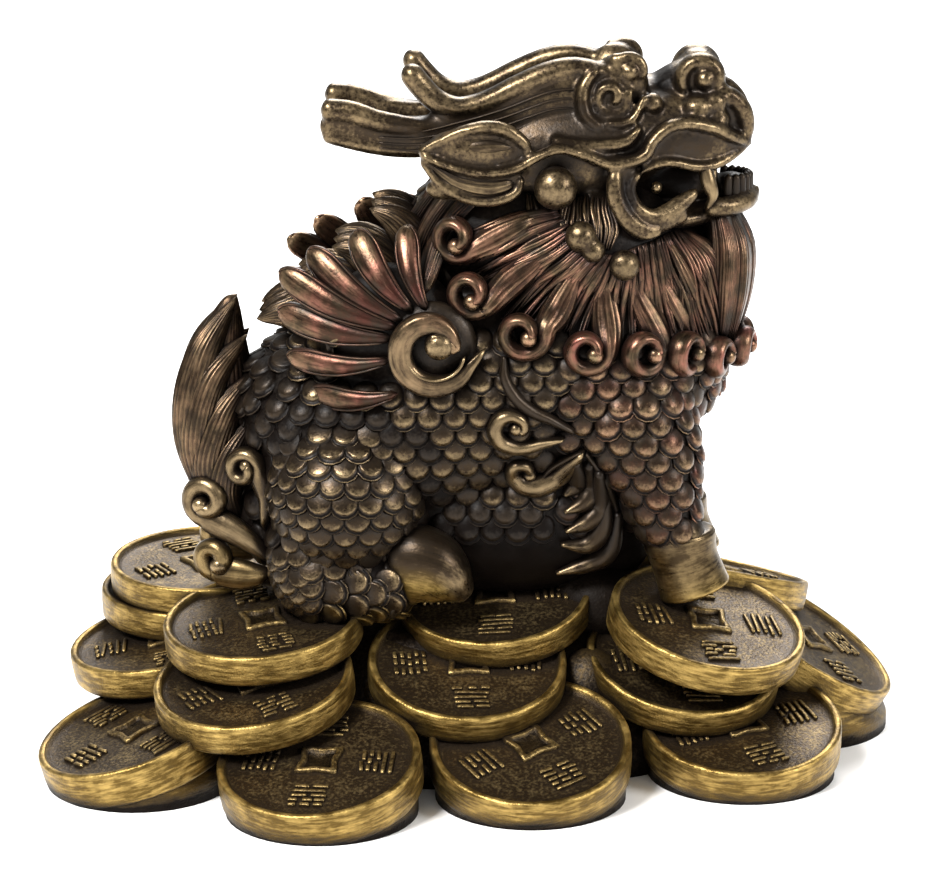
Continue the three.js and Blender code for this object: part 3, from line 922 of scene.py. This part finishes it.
def feather(clay, root, tip, y, half, copper):
    """A leaf-shaped feather with a thin raised edge all round."""
    root, tip = np.array(root), np.array(tip) - (0, FEATHER_DROP)
    ahead = unit(tip - root)
    root = root - ahead * 1.6
    beside = np.array([-ahead[1], ahead[0]])

    def at(share, off=0.0, proud=0.0):
        x, z = root + (tip - root) * share + beside * (off + 0.9 * math.sin(math.pi * share))
        return (x, y - proud + FEATHER_LEAN * share - 1.2 * math.sin(math.pi * share), z)

    shares = (0, 0.3, 0.55, 0.8, 1)
    widths = [half * w for w in (0.3, 0.62, 0.9, 1, 0.8)]
    clay.bent([at(share) for share in shares], widths, [0.8, 1, 1.05, 1, 0.8], sides=16, steps=20,
              blunt=(0.05, 0.16), copper=[copper, copper, copper, copper * 0.7, copper * 0.3],
              bare=[0.3, 0.25, 0.1, 0, 0])
    for side in (1, -1):
        line = [at(share, side * w * 0.95, 0.25) for share, w in zip((0.05, 0.3, 0.55, 0.8), widths)]
        line += [at(0.94, side * half * 0.55, 0.2), at(1, 0, 0.1)]
        clay.bent(line, [0.2, 0.24, 0.26, 0.24], [0.5], sides=6, steps=22, blunt=(0.1, 0.02),
                  copper=copper * 0.6, bare=0.25)


# The mane, from under the ear to the chest. Each row is where a lock leaves the jaw, then the
# middle, radius and bearing of the curl that it ends in.
MANE = [
    ((10.5, -12, 82), (-1.1, -11.4, 78.6), 3.9, -22),
    ((12.6, -13, 78), (0.8, -14.2, 71.2), 3.8, -14),
    ((16, -14, 74.6), (7.9, -15.2, 65.6), 4.2, -6),
    ((19.6, -14, 73), (16.9, -15, 63.1), 3.9, 4),
    ((23.4, -13, 73.4), (24.5, -13.6, 62.6), 4.1, 32),
    ((26, -11, 76.4), (30.3, -11, 62), 4.1, 56),
    ((28.6, -9, 78), (35, -7.2, 60.5), 3.6, 68),
    ((31.4, -6.5, 79.5), (38.6, -2.8, 61), 3.5, 82),
]
LOCK_RIDGES = 23
# Where the hairs between the locks leave the jaw, from under the ear to the chin
HAIR_ROOTS = [(12, -12.6, 84), (14.5, -13.4, 80.5), (18.4, -14, 77), (21.4, -14, 76.4),
              (24.4, -13, 77.4), (28, -11.2, 78.4), (31, -9, 79.4), (33.6, -6.6, 80)]
HAIRS_BETWEEN = 22  # hairs from one curl to the next
TUFTS_BETWEEN = 4
# The beard's hairs, as their middle in X, how far out they stand in front and at the side, and Z
BEARD = [(36.2, 2.7, 4.9, 80.8), (37.2, 3.9, 7, 75.6), (37, 4, 7.7, 69), (36.6, 3, 6.2, 62.4)]
CREST = [(-5, 71), (-10.5, 68), (-16, 65.5), (-21.5, 62.5)]  # its tufts' roots in X and Z


def combed(clay, points, wide, deep, *, ridges=LOCK_RIDGES, groove=0.1, steps=16, copper=0.4,
           facing=RIGHT, blunt=(0.08, 0.1), both=True):
    """A flat tapering lock of combed hair."""
    clay.bent(points, wide, deep, facing=facing, sides=ridges * 3, steps=steps, ridges=ridges, deep=groove,
              blunt=blunt, copper=copper, both=both)


def lock(clay, tree, root, centre, radius, way, copper):
    """A combed lock that leaves the jaw, runs round the outside of its curl and winds in smooth."""
    facing = np.array(bearing(way))
    begin = 118 if centre[2] > 70 else 78  # the upper locks join their curls lower down
    coil = spiral(centre, facing, radius - 0.75, 1.1, begin, 400, rise=1.5, steps=15) + facing * 0.5
    root = np.array(root)
    near = root * 0.3 + coil[0] * 0.7
    start, upper, half = laid([root, root * 0.66 + coil[0] * 0.34, near], tree, 0.3)
    half = np.array(half) * 0.4 + near * 0.6
    points = np.vstack([start, upper, half, coil])
    wide = [0.5, 1.5, 2.1, 1.7] + list(np.linspace(1.25, 0.85, len(coil) - 1))
    deep = [0.5, 0.9, 1.1, 1.5] + list(np.linspace(1.6, 1.8, len(coil) - 1))
    groove = [0.11, 0.11, 0.1, 0.07, 0.02] + [0] * 14
    combed(clay, points, wide, deep, ridges=11, groove=groove, steps=54, facing=facing,
           blunt=(0.03, 0.03), copper=[0.4, 0.5, 0.6, copper, copper, copper])
    clay.ball(coil[-1] + facing * 0.5, 1.25, fineness=2, copper=copper * 0.6)


def hair(clay, path, half, copper):
    """One combed hair that swells from its root and tapers to its tip."""
    clay.bent(path, [half * 0.5, half, half * 0.95, half * 0.2], [half * 1.2], sides=6, steps=12,
              copper=copper, bare=[0.35, 0.1, 0.1, 0.3])


def mane(tree):
    clay = Clay()
    for i, (root, centre, radius, way) in enumerate(MANE):
        lock(clay, tree, root, centre, radius, way, copper=0.7 if i < 3 else 1.0)
    ends = [np.array(centre) + (0, 0, radius * 0.1) for _, centre, radius, _ in MANE]
    last = len(MANE) - 1
    for i in range(last * HAIRS_BETWEEN):
        share = i / HAIRS_BETWEEN
        tuft = (math.floor(share * TUFTS_BETWEEN) + 0.5) / TUFTS_BETWEEN
        beside = abs(share - tuft) * 2 * TUFTS_BETWEEN
        gathered = share + (tuft - share) * 0.5 + chance.uniform(-0.02, 0.02)
        root = smooth_line(HAIR_ROOTS, np.array([share / last]))[0]
        end = smooth_line(ends, np.array([gathered / last]))[0]
        end = root + (end - root) * chance.uniform(0.86, 1.04)
        sway = (chance.uniform(-0.5, 0.5), 0, 0)
        path = laid([root, root * 0.67 + end * 0.33 + sway, root * 0.33 + end * 0.67 - sway, end], tree,
                    0.55 - 0.5 * beside + chance.uniform(-0.1, 0.15))
        hair(clay, path, chance.uniform(0.36, 0.52), copper=0.6)
    # the cheek's hair, between its ball and the jaw
    for x in np.arange(10, 22, 0.62):
        top = (x + chance.uniform(-0.2, 0.2), -12.8, 88 - chance.uniform(0, 1))
        path = [top, (x - 0.3, -13.6, 84.5), (x - 0.2 + chance.uniform(-0.4, 0.4), -13.8, 80.5),
                (18 + (x - 18) * 0.6, -13.6, 77)]
        hair(clay, laid(path, tree, chance.uniform(0, 0.4)), 0.42, copper=0.15)
    # the beard, under the chin
    clay.bent([(36.4, 0, 81.5), (37.2, 0, 75.5), (37, 0, 69), (36.4, 0, 62)], [5.2, 7, 7.6, 5.4],
              [2.6, 3.8, 3.8, 2.6], facing=FRONT, sides=32, steps=20, bare=0.5, both=False)
    for swing in np.arange(0, 115, 2.6):
        turn = math.radians(swing + chance.uniform(-1, 1))
        lift = 1 + 0.05 * math.sin(turn * 9) + chance.uniform(0, 0.06)
        path = [(x + ahead * math.cos(turn) * lift, -beside * math.sin(turn) * lift, z)
                for x, ahead, beside, z in BEARD]
        hair(clay, path, 0.46, copper=0.45)
    # the back of the neck
    for i in range(3):
        y = -2.4 - 4.3 * i
        path = [(9 - i, y, 90), (0, y * 1.05, 87), (-6, y * 1.1, 79), (-9 + i, y * 1.15, 70)]
        combed(clay, laid(path, tree, 0.3), [1.4, 2.5, 2.6, 0.8], [1.1],
               facing=(-0.7, -0.15 * i, 0.7), steps=22)
    # the crest of tufts down the back
    for i, (x, z) in enumerate(CREST):
        for y, lean in ((0, 0), (-4.2, -1.6)):
            path = [(x + 3, y, z - 4), (x - 1, y + lean * 0.5, z + 3),
                    (x - 5, y + lean, z + 8.5 - 1.6 * i), (x - 9, y + lean, z + 10.5 - 2.6 * i)]
            combed(clay, path, [2.6, 3, 2.2, 0.4], [2, 2.2, 1.6, 0.4], steps=20, copper=0.1,
                   both=y != 0)
    return clay


def horns(clay):
    """A broad shaft under a round ridge, with a short prong and a long one."""
    clay.bent([(20.5, -6, 101.2), (15.5, -6.5, 102), (11.7, -6.8, 101.2), (7.4, -7.1, 99.4),
               (3.6, -7.2, 97.6), (1, -7.3, 96.7), (-1.7, -7.3, 96.4), (-4.6, -7.2, 97.4),
               (-6.9, -7, 99.7), (-8.8, -6.9, 102.3)],
              [1, 1.4, 1.7, 1.7, 1.55, 1.5, 1.5, 1.7, 1.75, 1.7], [1.9], sides=20, steps=60,
              blunt=(0.02, 0.06))
    clay.bent([(20, -6.2, 99.6), (13, -6.6, 99.6), (7, -6.8, 97.6), (2, -6.9, 95.4), (-3, -6.9, 94.6)],
              [2.4, 2.4, 2.2, 1.8, 1.2], [1.6], sides=16, steps=40)
    clay.bent([(21, -6.2, 97.2), (13, -6.6, 97), (5, -6.8, 94.8), (-1, -6.8, 93), (-7, -6.7, 92),
               (-13, -6.6, 92.4), (-21, -6.6, 93.8)],
              [3.2, 4, 3.6, 3, 3, 3, 2.5], [2, 1.9, 1.9, 1.8, 1.7, 1.5, 1.4], sides=28, steps=48,
              flat=0.3, blunt=(0.02, 0.03))
    clay.bent([(-3.6, -7.2, 93.6), (-8.7, -7.6, 93.8), (-13, -7.5, 94.5), (-16.6, -7.2, 95.6),
               (-20.9, -7, 96)],
              [0.8, 1.4, 1.6, 1.7, 1.7], [1.3, 1.5, 1.7, 1.7], sides=16, steps=36, blunt=(0.05, 0.06))
    clay.bent([(-6.6, -7.4, 90.1), (-13.5, -7.2, 90.6), (-20.4, -7, 92.2)], [0.5, 0.7, 0.9], [1.1],
              sides=10, steps=24, blunt=(0.1, 0.1))
    clay.bent([(18.4, -7.6, 102), (16.4, -8.6, 99.4), (16.6, -9.2, 95.8), (18.8, -9.6, 93.6)],
              [0.7, 1, 0.9], [1.1], sides=10, steps=28, blunt=(0.05, 0.05))


def horn_lines(clay):
    """The fine lines along the horns."""
    for drop in (0, 1.3, 2.6, 3.8):
        line = [(17.5 - drop * 0.3, -7.9, 99 - drop), (12, -8.2, 98.8 - drop),
                (5, -8.4, 96.2 - 0.9 * drop), (-1, -8.3, 94.4 - 0.8 * drop),
                (-7, -8.1, 93 - 0.7 * drop), (-13, -7.8, 93 - 0.6 * drop)]
        clay.bent(line, [0.14, 0.22, 0.2, 0.12], [0.6], sides=6, steps=44, blunt=(0.03, 0.03),
                  bare=0.35)


def ears(clay):
    """Each ear is two leaves, one above the other, inside rounded rims."""
    clay.ball((1, -12.5, 91.1), (7, 2.1, 3.2), pitch=-3)
    clay.bent([(8.2, -12.6, 90.4), (8.1, -13, 92), (5.7, -13.5, 94), (3.2, -13.7, 94.6),
               (0.6, -13.7, 94.3), (-1.9, -13.5, 93.5), (-4.4, -13.2, 92.3), (-6.9, -12.8, 91)],
              [0.6, 0.95, 1, 0.9, 0.75, 0.6], [1.2], steps=44, blunt=(0.05, 0.03))
    clay.ball((0.8, -12.8, 86.8), (7, 2, 2.5), pitch=12)
    clay.bent([(7.6, -12.9, 87.6), (7, -13.4, 85.5), (4.6, -13.8, 84.3), (1.5, -13.9, 84.1),
               (-1.9, -13.8, 85.2), (-4.4, -13.4, 87.2), (-6.6, -12.9, 90)],
              [0.6, 0.8, 0.85, 0.75, 0.6], [1.1], sides=10, steps=40, blunt=(0.05, 0.03))


# The upper edge of the lip, which runs on back between the two leaves of the ear
LIP = [(40.2, -2.6, 90.6), (38.7, -4.6, 91.4), (37.3, -6, 92.2), (35.2, -7.6, 93.4), (32.4, -8.8, 94.2),
       (30.3, -9.5, 94.4), (28.3, -10, 93.9), (26.2, -10.5, 92.1), (25.2, -10.9, 90.3), (23.1, -11.3, 89.3),
       (20, -11.8, 89), (16.5, -12.2, 90.4), (13, -12.8, 91.3), (10, -13.2, 90.4), (7.4, -13.6, 89),
       (5.3, -14, 88.4), (1.5, -14.2, 88.2), (-3.2, -13.8, 89.3), (-6.9, -12.9, 90.9)]

# The mouth and hollows of the head, darkened as painted shade; the mouth is also bare resin. Middle, half
# sizes and how dark
SHADED_HOLLOWS = [
    ((29.4, 0, 85.2), (5.6, 9, 3), 1.0),
    ((30.6, 8.6, 90.8), (5.5, 3.4, 1.7), 0.3),
    ((15, 11.4, 95), (8, 4, 3), 0.3),
    ((28, 4, 100.2), (1.6, 7, 2.6), 0.8),
    ((1, 8, 93.4), (18, 3.6, 2.4), 0.2),
    ((22.8, 11.6, 84.6), (1.3, 3, 3.4), 0.7),
    ((38.4, 0, 85), (3.6, 4.6, 1.5), 0.7),
]


# Painted shade in the head's hollows, and bare resin in the mouth, from the table above
def hollows_painted_shade(places):
    bare = np.zeros(len(places))
    for middle, halves, share in SHADED_HOLLOWS:
        gap = ((places * (1, 0, 1) + (0, 1, 0) * np.abs(places) - middle) / halves) ** 2
        bare = np.maximum(bare, share * np.clip(1.5 - 1.2 * gap.sum(axis=1), 0, 1))
    return bare


HEAD_VOXEL = 0.38


def head_core():
    """The skull, muzzle, jaw, ears and horns, run together with the soft edges of the face."""
    clay = Clay()
    clay.bent([(-4, 0, 86.5), (6, 0, 88.5), (17, 0, 90), (29, 0, 93.4), (35, 0, 94.2), (39.6, 0, 93.4)],
              [5, 9.8, 11, 8.6, 6.6, 3.6], [5, 9, 9.4, 6, 4.6, 3.2], facing=UP, sides=32, steps=32,
              blunt=(0.1, 0.06), both=False)
    clay.bent([(14, 0, 82.5), (25, 0, 80.2), (33, 0, 80), (39, 0, 81.4)], [11, 10, 6.4, 3.4],
              [6, 2.8, 1.9, 1.4], facing=UP, sides=28, steps=24, blunt=(0.1, 0.06), both=False)
    face(clay)
    jaw(clay)
    # the balls of the cheek
    clay.ball((12.4, -13, 85.8), (3.15, 2.8, 3.15))
    clay.ball((16, -14, 79), (2.3, 2.2, 2.3))
    clay.ball((17.8, -14.2, 77), (1.8, 1.8, 1.8), fineness=2)
    clay.ball((22.2, -13.6, 74.8), (2.3, 2.1, 2.3))
    ears(clay)
    horns(clay)
    return remeshed(clay, HEAD_VOXEL, 2, bare=hollows_painted_shade)


def face(clay):
    """The nose, eyes and upper lip."""
    # the bridge, which dips behind the nose, and the nose's bulb under its scroll
    clay.bent([(20, 0, 98.6), (24, 0, 98), (27, 0, 98), (30.5, 0, 99.8), (33.5, 0, 100.6), (36, 0, 98.4)],
              [7, 5.6, 4.6, 4.2, 3.8, 3], [2.6, 2.2, 2.1, 2.2, 2, 2], facing=UP, both=False)
    clay.ball((33.2, -2.6, 99.9), (3.4, 2.8, 3.4))
    clay.bent(spiral((33.2, -4.4, 100), RIGHT, 2.75, 2.3, 225, 285), [0.9, 1.15, 1.25, 1.2, 0.8], [1.8],
              sides=14, steps=60, blunt=(0.06, 0.06))
    clay.ball((33.7, -5.6, 100), 1.45, fineness=2)
    clay.ball((32.6, -6.5, 96), (2.3, 2.2, 2))
    clay.ball((35.2, -5.9, 96.9), (1.8, 1.8, 1.6), fineness=2)
    clay.ball((35.7, -6, 94.5), (1.7, 1.7, 1.5), fineness=2)
    # the fold over the front of the muzzle
    clay.ball((37.4, 0, 93.4), (3, 4.4, 4.6), both=False)
    clay.bent([(35.4, -4.6, 98.2), (37.2, -4.8, 97.7), (39.1, -4.2, 95.8), (39.9, -3.4, 93.2),
               (39.8, -2.8, 90.6)],
              [0.9, 1.3, 1.4, 1.3, 0.8], [1.6], sides=14, steps=32, blunt=(0.08, 0.04))
    # the upper lip between its two edges
    clay.bent([(23.4, -9.6, 88.6), (25.4, -9.4, 89.6), (27.6, -8.7, 90.8), (30.3, -7.9, 91.2),
               (34, -6.6, 90.8), (37, -4.9, 90.4), (39.4, -2.4, 90)],
              [0.5, 1.2, 2.4, 3, 2.8, 1.8, 0.8], [0.9], sides=16, steps=30)
    clay.bent(LIP, [0.7, 0.9, 0.95, 0.95, 0.9, 0.85, 0.8, 0.75, 0.75, 0.7, 0.6], [1.4], steps=120,
              blunt=(0.02, 0.02))
    clay.bent([(40, -2.4, 90.2), (38.1, -4.6, 89.1), (36.1, -6.2, 88.2), (34, -7.3, 87.8),
               (31.9, -8.2, 88), (29.8, -9, 88.6), (28.1, -9.5, 88.8), (26.3, -9.9, 88.5),
               (24.6, -10.4, 87.8)],
              [0.7, 0.75, 0.7, 0.6], [0.9], sides=10, steps=50, blunt=(0.04, 0.04))
    # the eye over the scroll of its lid, in one lump, with beads before and above it
    clay.ball((21.6, -5.4, 99.4), (4.2, 2.8, 4.4), pitch=30)
    clay.ball((22.9, -7.4, 101.4), 1.5, fineness=2)
    clay.bent(spiral((22.9, -6.9, 101.4), RIGHT, 2.3, 2.1, 150, 330), [0.6, 0.75, 0.6], [1.1], sides=10,
              steps=48, blunt=(0.06, 0.06))
    clay.bent(spiral((20.3, -8, 98), RIGHT, 2.7, 0.5, 60, 470, rise=0.5, steps=24), [0.6, 0.75, 0.65],
              [1], sides=10, steps=80, blunt=(0.03, 0.03))
    clay.ball((26.2, -7.8, 97), (1.6, 1.6, 1.6), fineness=2)
    clay.ball((21, -6.8, 103), 1.1, fineness=2)
    clay.bent([(19.4, -9.6, 94.4), (23.1, -9.4, 94.8), (25.2, -8.6, 98.4)], [0.5, 0.6, 0.5], [0.9],
              sides=8, steps=20, blunt=(0.1, 0.1))
    clay.bent([(12, -11.4, 92.6), (17, -11.4, 91.6), (22, -10.7, 91.8), (24.4, -9.8, 93.8)],
              [0.5, 0.9, 0.9, 0.5], [1.1])


def jaw(clay):
    """The corner of the mouth, the lower jaw and the lower lip."""
    clay.bent([(22, 0, 86), (29, 0, 85), (36, 0, 85)], [5, 5, 3.8], [3.4, 3.6, 3], facing=UP, both=False)
    clay.bent([(22, -10.6, 90), (22, -10.8, 85), (23.6, -10.8, 81.6), (26.6, -10, 80), (31, -8, 81)],
              [1.7, 1.9, 1.9, 1.5, 1], [1.4], sides=14, steps=30)
    clay.bent([(20.9, -12, 88.2), (20.7, -12.5, 85.2), (21.8, -12.6, 82.3), (23.6, -12.2, 80.1),
               (25.4, -11.5, 79.2), (27.6, -10.6, 79.4)], [0.9, 1.2, 1.3, 1.35, 1.25, 0.7], [1.1], sides=14,
              steps=44, flat=0.2, blunt=(0.06, 0.06))
    clay.bent([(24.4, -10.8, 87.6), (23.3, -11.4, 86.4), (23.2, -11.7, 84.6), (24.2, -11.6, 82.6),
               (26.2, -11, 81.2), (28.4, -10.2, 81.6), (30.4, -9.2, 82.9), (32.9, -7.8, 84.6)],
              [0.6, 0.7, 0.75, 0.9, 1.3, 1.5, 1.3, 0.7], [1], steps=56, blunt=(0.05, 0.05))
    clay.bent([(34, -6.4, 81.8), (37.4, -5, 81.6), (40, -2.7, 82), (41.2, 0, 82.4)], [1.2, 1.5, 1.5, 1.3],
              [1.5], facing=UP, sides=14, steps=24, blunt=(0.1, 0))
    clay.ball((37.4, 0, 81.6), (3.6, 4.2, 1.9), both=False)
    clay.bent([(38.5, 0, 82), (40.8, 0, 82.6), (42.3, 0, 83.4)], [3, 1.8, 0.5], [1.5, 1.2, 0.5], facing=UP,
              both=False)
    clay.ball((38.2, 0, 84), (2.9, 3.7, 1.7), both=False)


JAW_X = 37
JAW_REACH = (3.7, 3.9)
TEETH = (-84, -66, -50, -35, -21, -7)  # their bearings from the middle of the lower jaw


def head_lines():
    """The crisp parts of the head: the fang, the teeth and the lines of the horns and ears."""
    clay = Clay()
    clay.ball((26.9, -7.9, 84.9), 0.9, fineness=2)
    clay.bent([(33.8, -6.9, 88), (34.4, -7.4, 85.4), (35, -7.4, 83.6), (34.3, -7.1, 81.6)],
              [1.0, 1.15, 0.8, 0.2], [1, 1, 0.7, 0.2], steps=20)
    for swing in TEETH:
        x = JAW_X + JAW_REACH[0] * math.cos(math.radians(swing))
        y = JAW_REACH[1] * math.sin(math.radians(swing))
        clay.bent([(x, y, 82.8), (x + 0.1, y, 86.1)], [0.62, 0.55], [0.8, 0.6], facing=FRONT,
                  sides=10, steps=8, blunt=(0, 0.12), bare=0.5)
    clay.bent([(6.6, -13.2, 86.6), (2.6, -14, 86.2), (-1.6, -13.9, 87), (-5.8, -13.2, 89.6)],
              [1, 1.5, 1.2, 0.4], [1, 1.1, 0.9, 0.4], sides=48, steps=30, ridges=12, deep=0.06,
              blunt=(0.12, 0.05))
    clay.bent([(6.6, -13.2, 91.6), (2.8, -13.9, 91.8), (-1.6, -13.6, 91.4), (-5.8, -12.9, 90.8)],
              [0.4, 1.1, 0.9, 0.3], [0.6, 0.8, 0.6, 0.3], sides=16, steps=30, blunt=(0.12, 0.05), bare=0.2)
    horn_lines(clay)
    return clay


# The tail stands up behind in overlapping locks. Each row is a lock from root to tip in X and Z.
TAIL_LOCKS = [
    [(-37.2, 36), (-40.4, 48), (-38.6, 59), (-33.8, 67.4)],
    [(-36.8, 36), (-39.6, 46), (-37.6, 55.5), (-32.2, 62)],
    [(-35.8, 35), (-37.8, 43), (-35.8, 50.5), (-31.6, 56.4)],
    [(-34.6, 34), (-36, 39.5), (-34.6, 45), (-31.2, 50.2)],
]

# The curls at its root: middle, radius, where and how far they wind, root, half width and gold
TAIL_CURLS = [
    ((-32.4, -8, 43.4), 3.5, 110, -430, [(-29.7, -8, 34), (-29.2, -8.4, 39)], 1.05, 0.0),
    ((-38, -6.6, 38.2), 4.3, 175, 420, [(-28, -8, 29), (-33, -8, 33)], 1.35, 0.0),
    ((-37, -6.6, 29.3), 3.6, 165, 330, [(-28.5, -8, 27.6), (-32, -7.8, 27)], 1.5, 0.25),
]


def tail():
    clay = Clay()
    plume = [(-34.5, 0, 33), (-36.4, 0, 42), (-36.6, 0, 51), (-36.1, 0, 59.5), (-34.9, 0, 65.4),
             (-33.9, 0, 67.6)]
    combed(clay, plume, [3.5, 4.6, 5.4, 3.9, 1.8, 0.5], [5, 5.4, 4.8, 3.4, 1.6, 0.5], ridges=37,
           groove=0.03, steps=40, copper=0.3, both=False)
    for i, line in enumerate(TAIL_LOCKS):
        outwards = (-2.6 - 0.6 * i, -4.4 - 0.5 * i, -3.6 - 0.7 * i, -1 - i)
        path = [(x, y, z) for (x, z), y in zip(line, outwards)]
        combed(clay, path, [2, 2.7, 2.5, 0.4], [1.6, 1.9, 1.6, 0.5], ridges=25, groove=0.06, steps=30,
               copper=0.2)
    backwards = bearing(-20)
    for centre, radius, begin, turn, root, half, gold in TAIL_CURLS:
        coil = spiral(centre, backwards, radius - half, half * 0.8, begin, turn, rise=0.8)
        points = np.vstack([np.array(root), coil])
        widths = [0.6, half * 1.7] + [half * 1.1] * 4 + [half] * 5 + [half * 0.8]
        clay.bent(points, widths, [1.5], facing=backwards, sides=14, steps=64, blunt=(0.03, 0.04),
                  gold=gold)
        clay.ball(coil[-1] + (0, -0.3, 0), half, fineness=2)
    return clay


# Behind the fore leg, in X and Z: curls, each as its line, half widths and bead, flame locks, and
# folds of the hide, each as its line and half width
CURLS = [
    ([(14, 49.9), (11, 49.2), (7.6, 48.5), (5, 49.3), (3.9, 51.2), (4.6, 53), (6.2, 53.6),
      (7.7, 52.9), (8.1, 51.6), (7.3, 50.9)],
     [0.25, 0.7, 0.95, 0.9, 0.85, 0.75, 0.65, 0.6], (6.9, 51.6)),
    ([(16.8, 47.8), (15, 45.4), (12.8, 43), (10, 41.8), (7.8, 42.3), (6.5, 43.9), (6.9, 45.3),
      (8.2, 45.3), (9, 44.4)],
     [0.3, 1.0, 1.25, 1.3, 1.15, 0.9, 0.75, 0.65, 0.6], (8.9, 43.6)),
]
FLAMES = [
    [(15.6, 46.4), (15.9, 42.2), (14, 40.2)],
    [(17.4, 46), (18, 41.8), (17, 39.2), (14, 37.8)],
    [(19, 44.8), (19.3, 38.8), (17.6, 36.2), (14.2, 34.8)],
    [(20.4, 40.6), (19.5, 35), (17.4, 32.6), (13.6, 32.8)],
    [(22, 37.4), (20.8, 31.4), (18, 29.2), (13, 27.8)],
]
FOLDS = [
    ([(5.2, 62), (5.3, 59.2), (6.8, 56.3), (9.1, 54.2), (11.9, 52.8), (15, 51)], 0.95),
    ([(16.4, 47.6), (14.2, 46.3), (12.2, 44.8), (11, 43.4)], 0.5),
    ([(17, 47.4), (19.8, 43), (21.4, 38.6), (22.4, 34.4)], 0.7),
]


def fringe(tree):
    clay = Clay()

    def on_flank(line, lift):
        raised = []
        for x, z in line:
            spot = tree.ray_cast(Vector((x, RIGHT_OFF, z)), Vector((0, 1, 0)))[0]
            raised.append(spot - Vector((0, lift, 0)))
        return raised

    for line, widths, bead in CURLS:
        wide = [1.4 * half for half in widths]
        clay.bent(on_flank(line, 0.9), wide, [1.6], sides=14, steps=60, blunt=(0.02, 0.05))
        clay.ball(on_flank([bead], 1.4)[0], 1.1, fineness=2)
    for line in FLAMES:
        clay.bent(on_flank(line, 0.9), [0.8, 1.6, 1.5, 0.3], [1.6, 1.9, 0.6], steps=28,
                  bare=[0.6, 0.4, 0.25, 0])
    for line, half in FOLDS:
        clay.bent(on_flank(line, 0.7), [half * 0.5, half, half, half * 0.5], [1.3], steps=36,
                  bare=0.4)
    return clay


def toe_gold(places):
    """The gold corner of the hind hoof, between the coin and a line up from the toe."""
    low = np.clip((31.5 - places[:, 2]) / 3.5, 0, 1)
    behind = np.clip((0.5 - 0.8 * (places[:, 2] - 24.5) - places[:, 0]) / 2, 0, 1)
    return 0.9 * low * behind


def toe_bare(places):
    return np.clip((places[:, 2] - 28) / 20, 0, 0.35)


def hooves():
    clay = Clay()
    clay.bent([(30.8, -9.2, 34.6), (31, -9.2, 33.2), (31.7, -9.2, 30.4), (32.7, -9.2, 27.4),
               (33.5, -9.2, 25)],
              [5.1, 5.4, 5, 5.1, 5.4], [5.1, 5.3, 5.1, 5.1, 5.3], sides=48, steps=30,
              blunt=(0.06, 0.04), gold=[0.05, 0.1, 0.15, 0.3, 0.8], brushed_round=True)
    # the hind hoof is a dome, flat below, that falls away to its toe
    clay.bent([(-10.6, -12, 29.6), (-8.2, -12.6, 30.2), (-5.3, -13, 29.7), (-2.8, -13.2, 28.2),
               (-1, -13.2, 26.6), (0, -13.2, 25.5)],
              [3.2, 5.7, 5.5, 4.2, 2.4, 1.2], [3.4, 4.8, 5, 4.4, 3.2, 2], sides=40, steps=44,
              flat=0.2, blunt=(0.05, 0.04), gold=toe_gold, bare=toe_bare)
    return clay


camera()
studio()
heap()
body = modelled_body()
tree = BVHTree.FromBMesh(body.bm)
pieces = {
    "scales": scales(tree),
    "wings": wing(),
    "mane": mane(tree),
    "head": head_core(),
    "head_lines": head_lines(),
    "tail": tail(),
    "fringe": fringe(tree),
    "hooves": hooves(),
    "hide": body,
}
for name, clay in pieces.items():
    finished(name, clay, bronze)
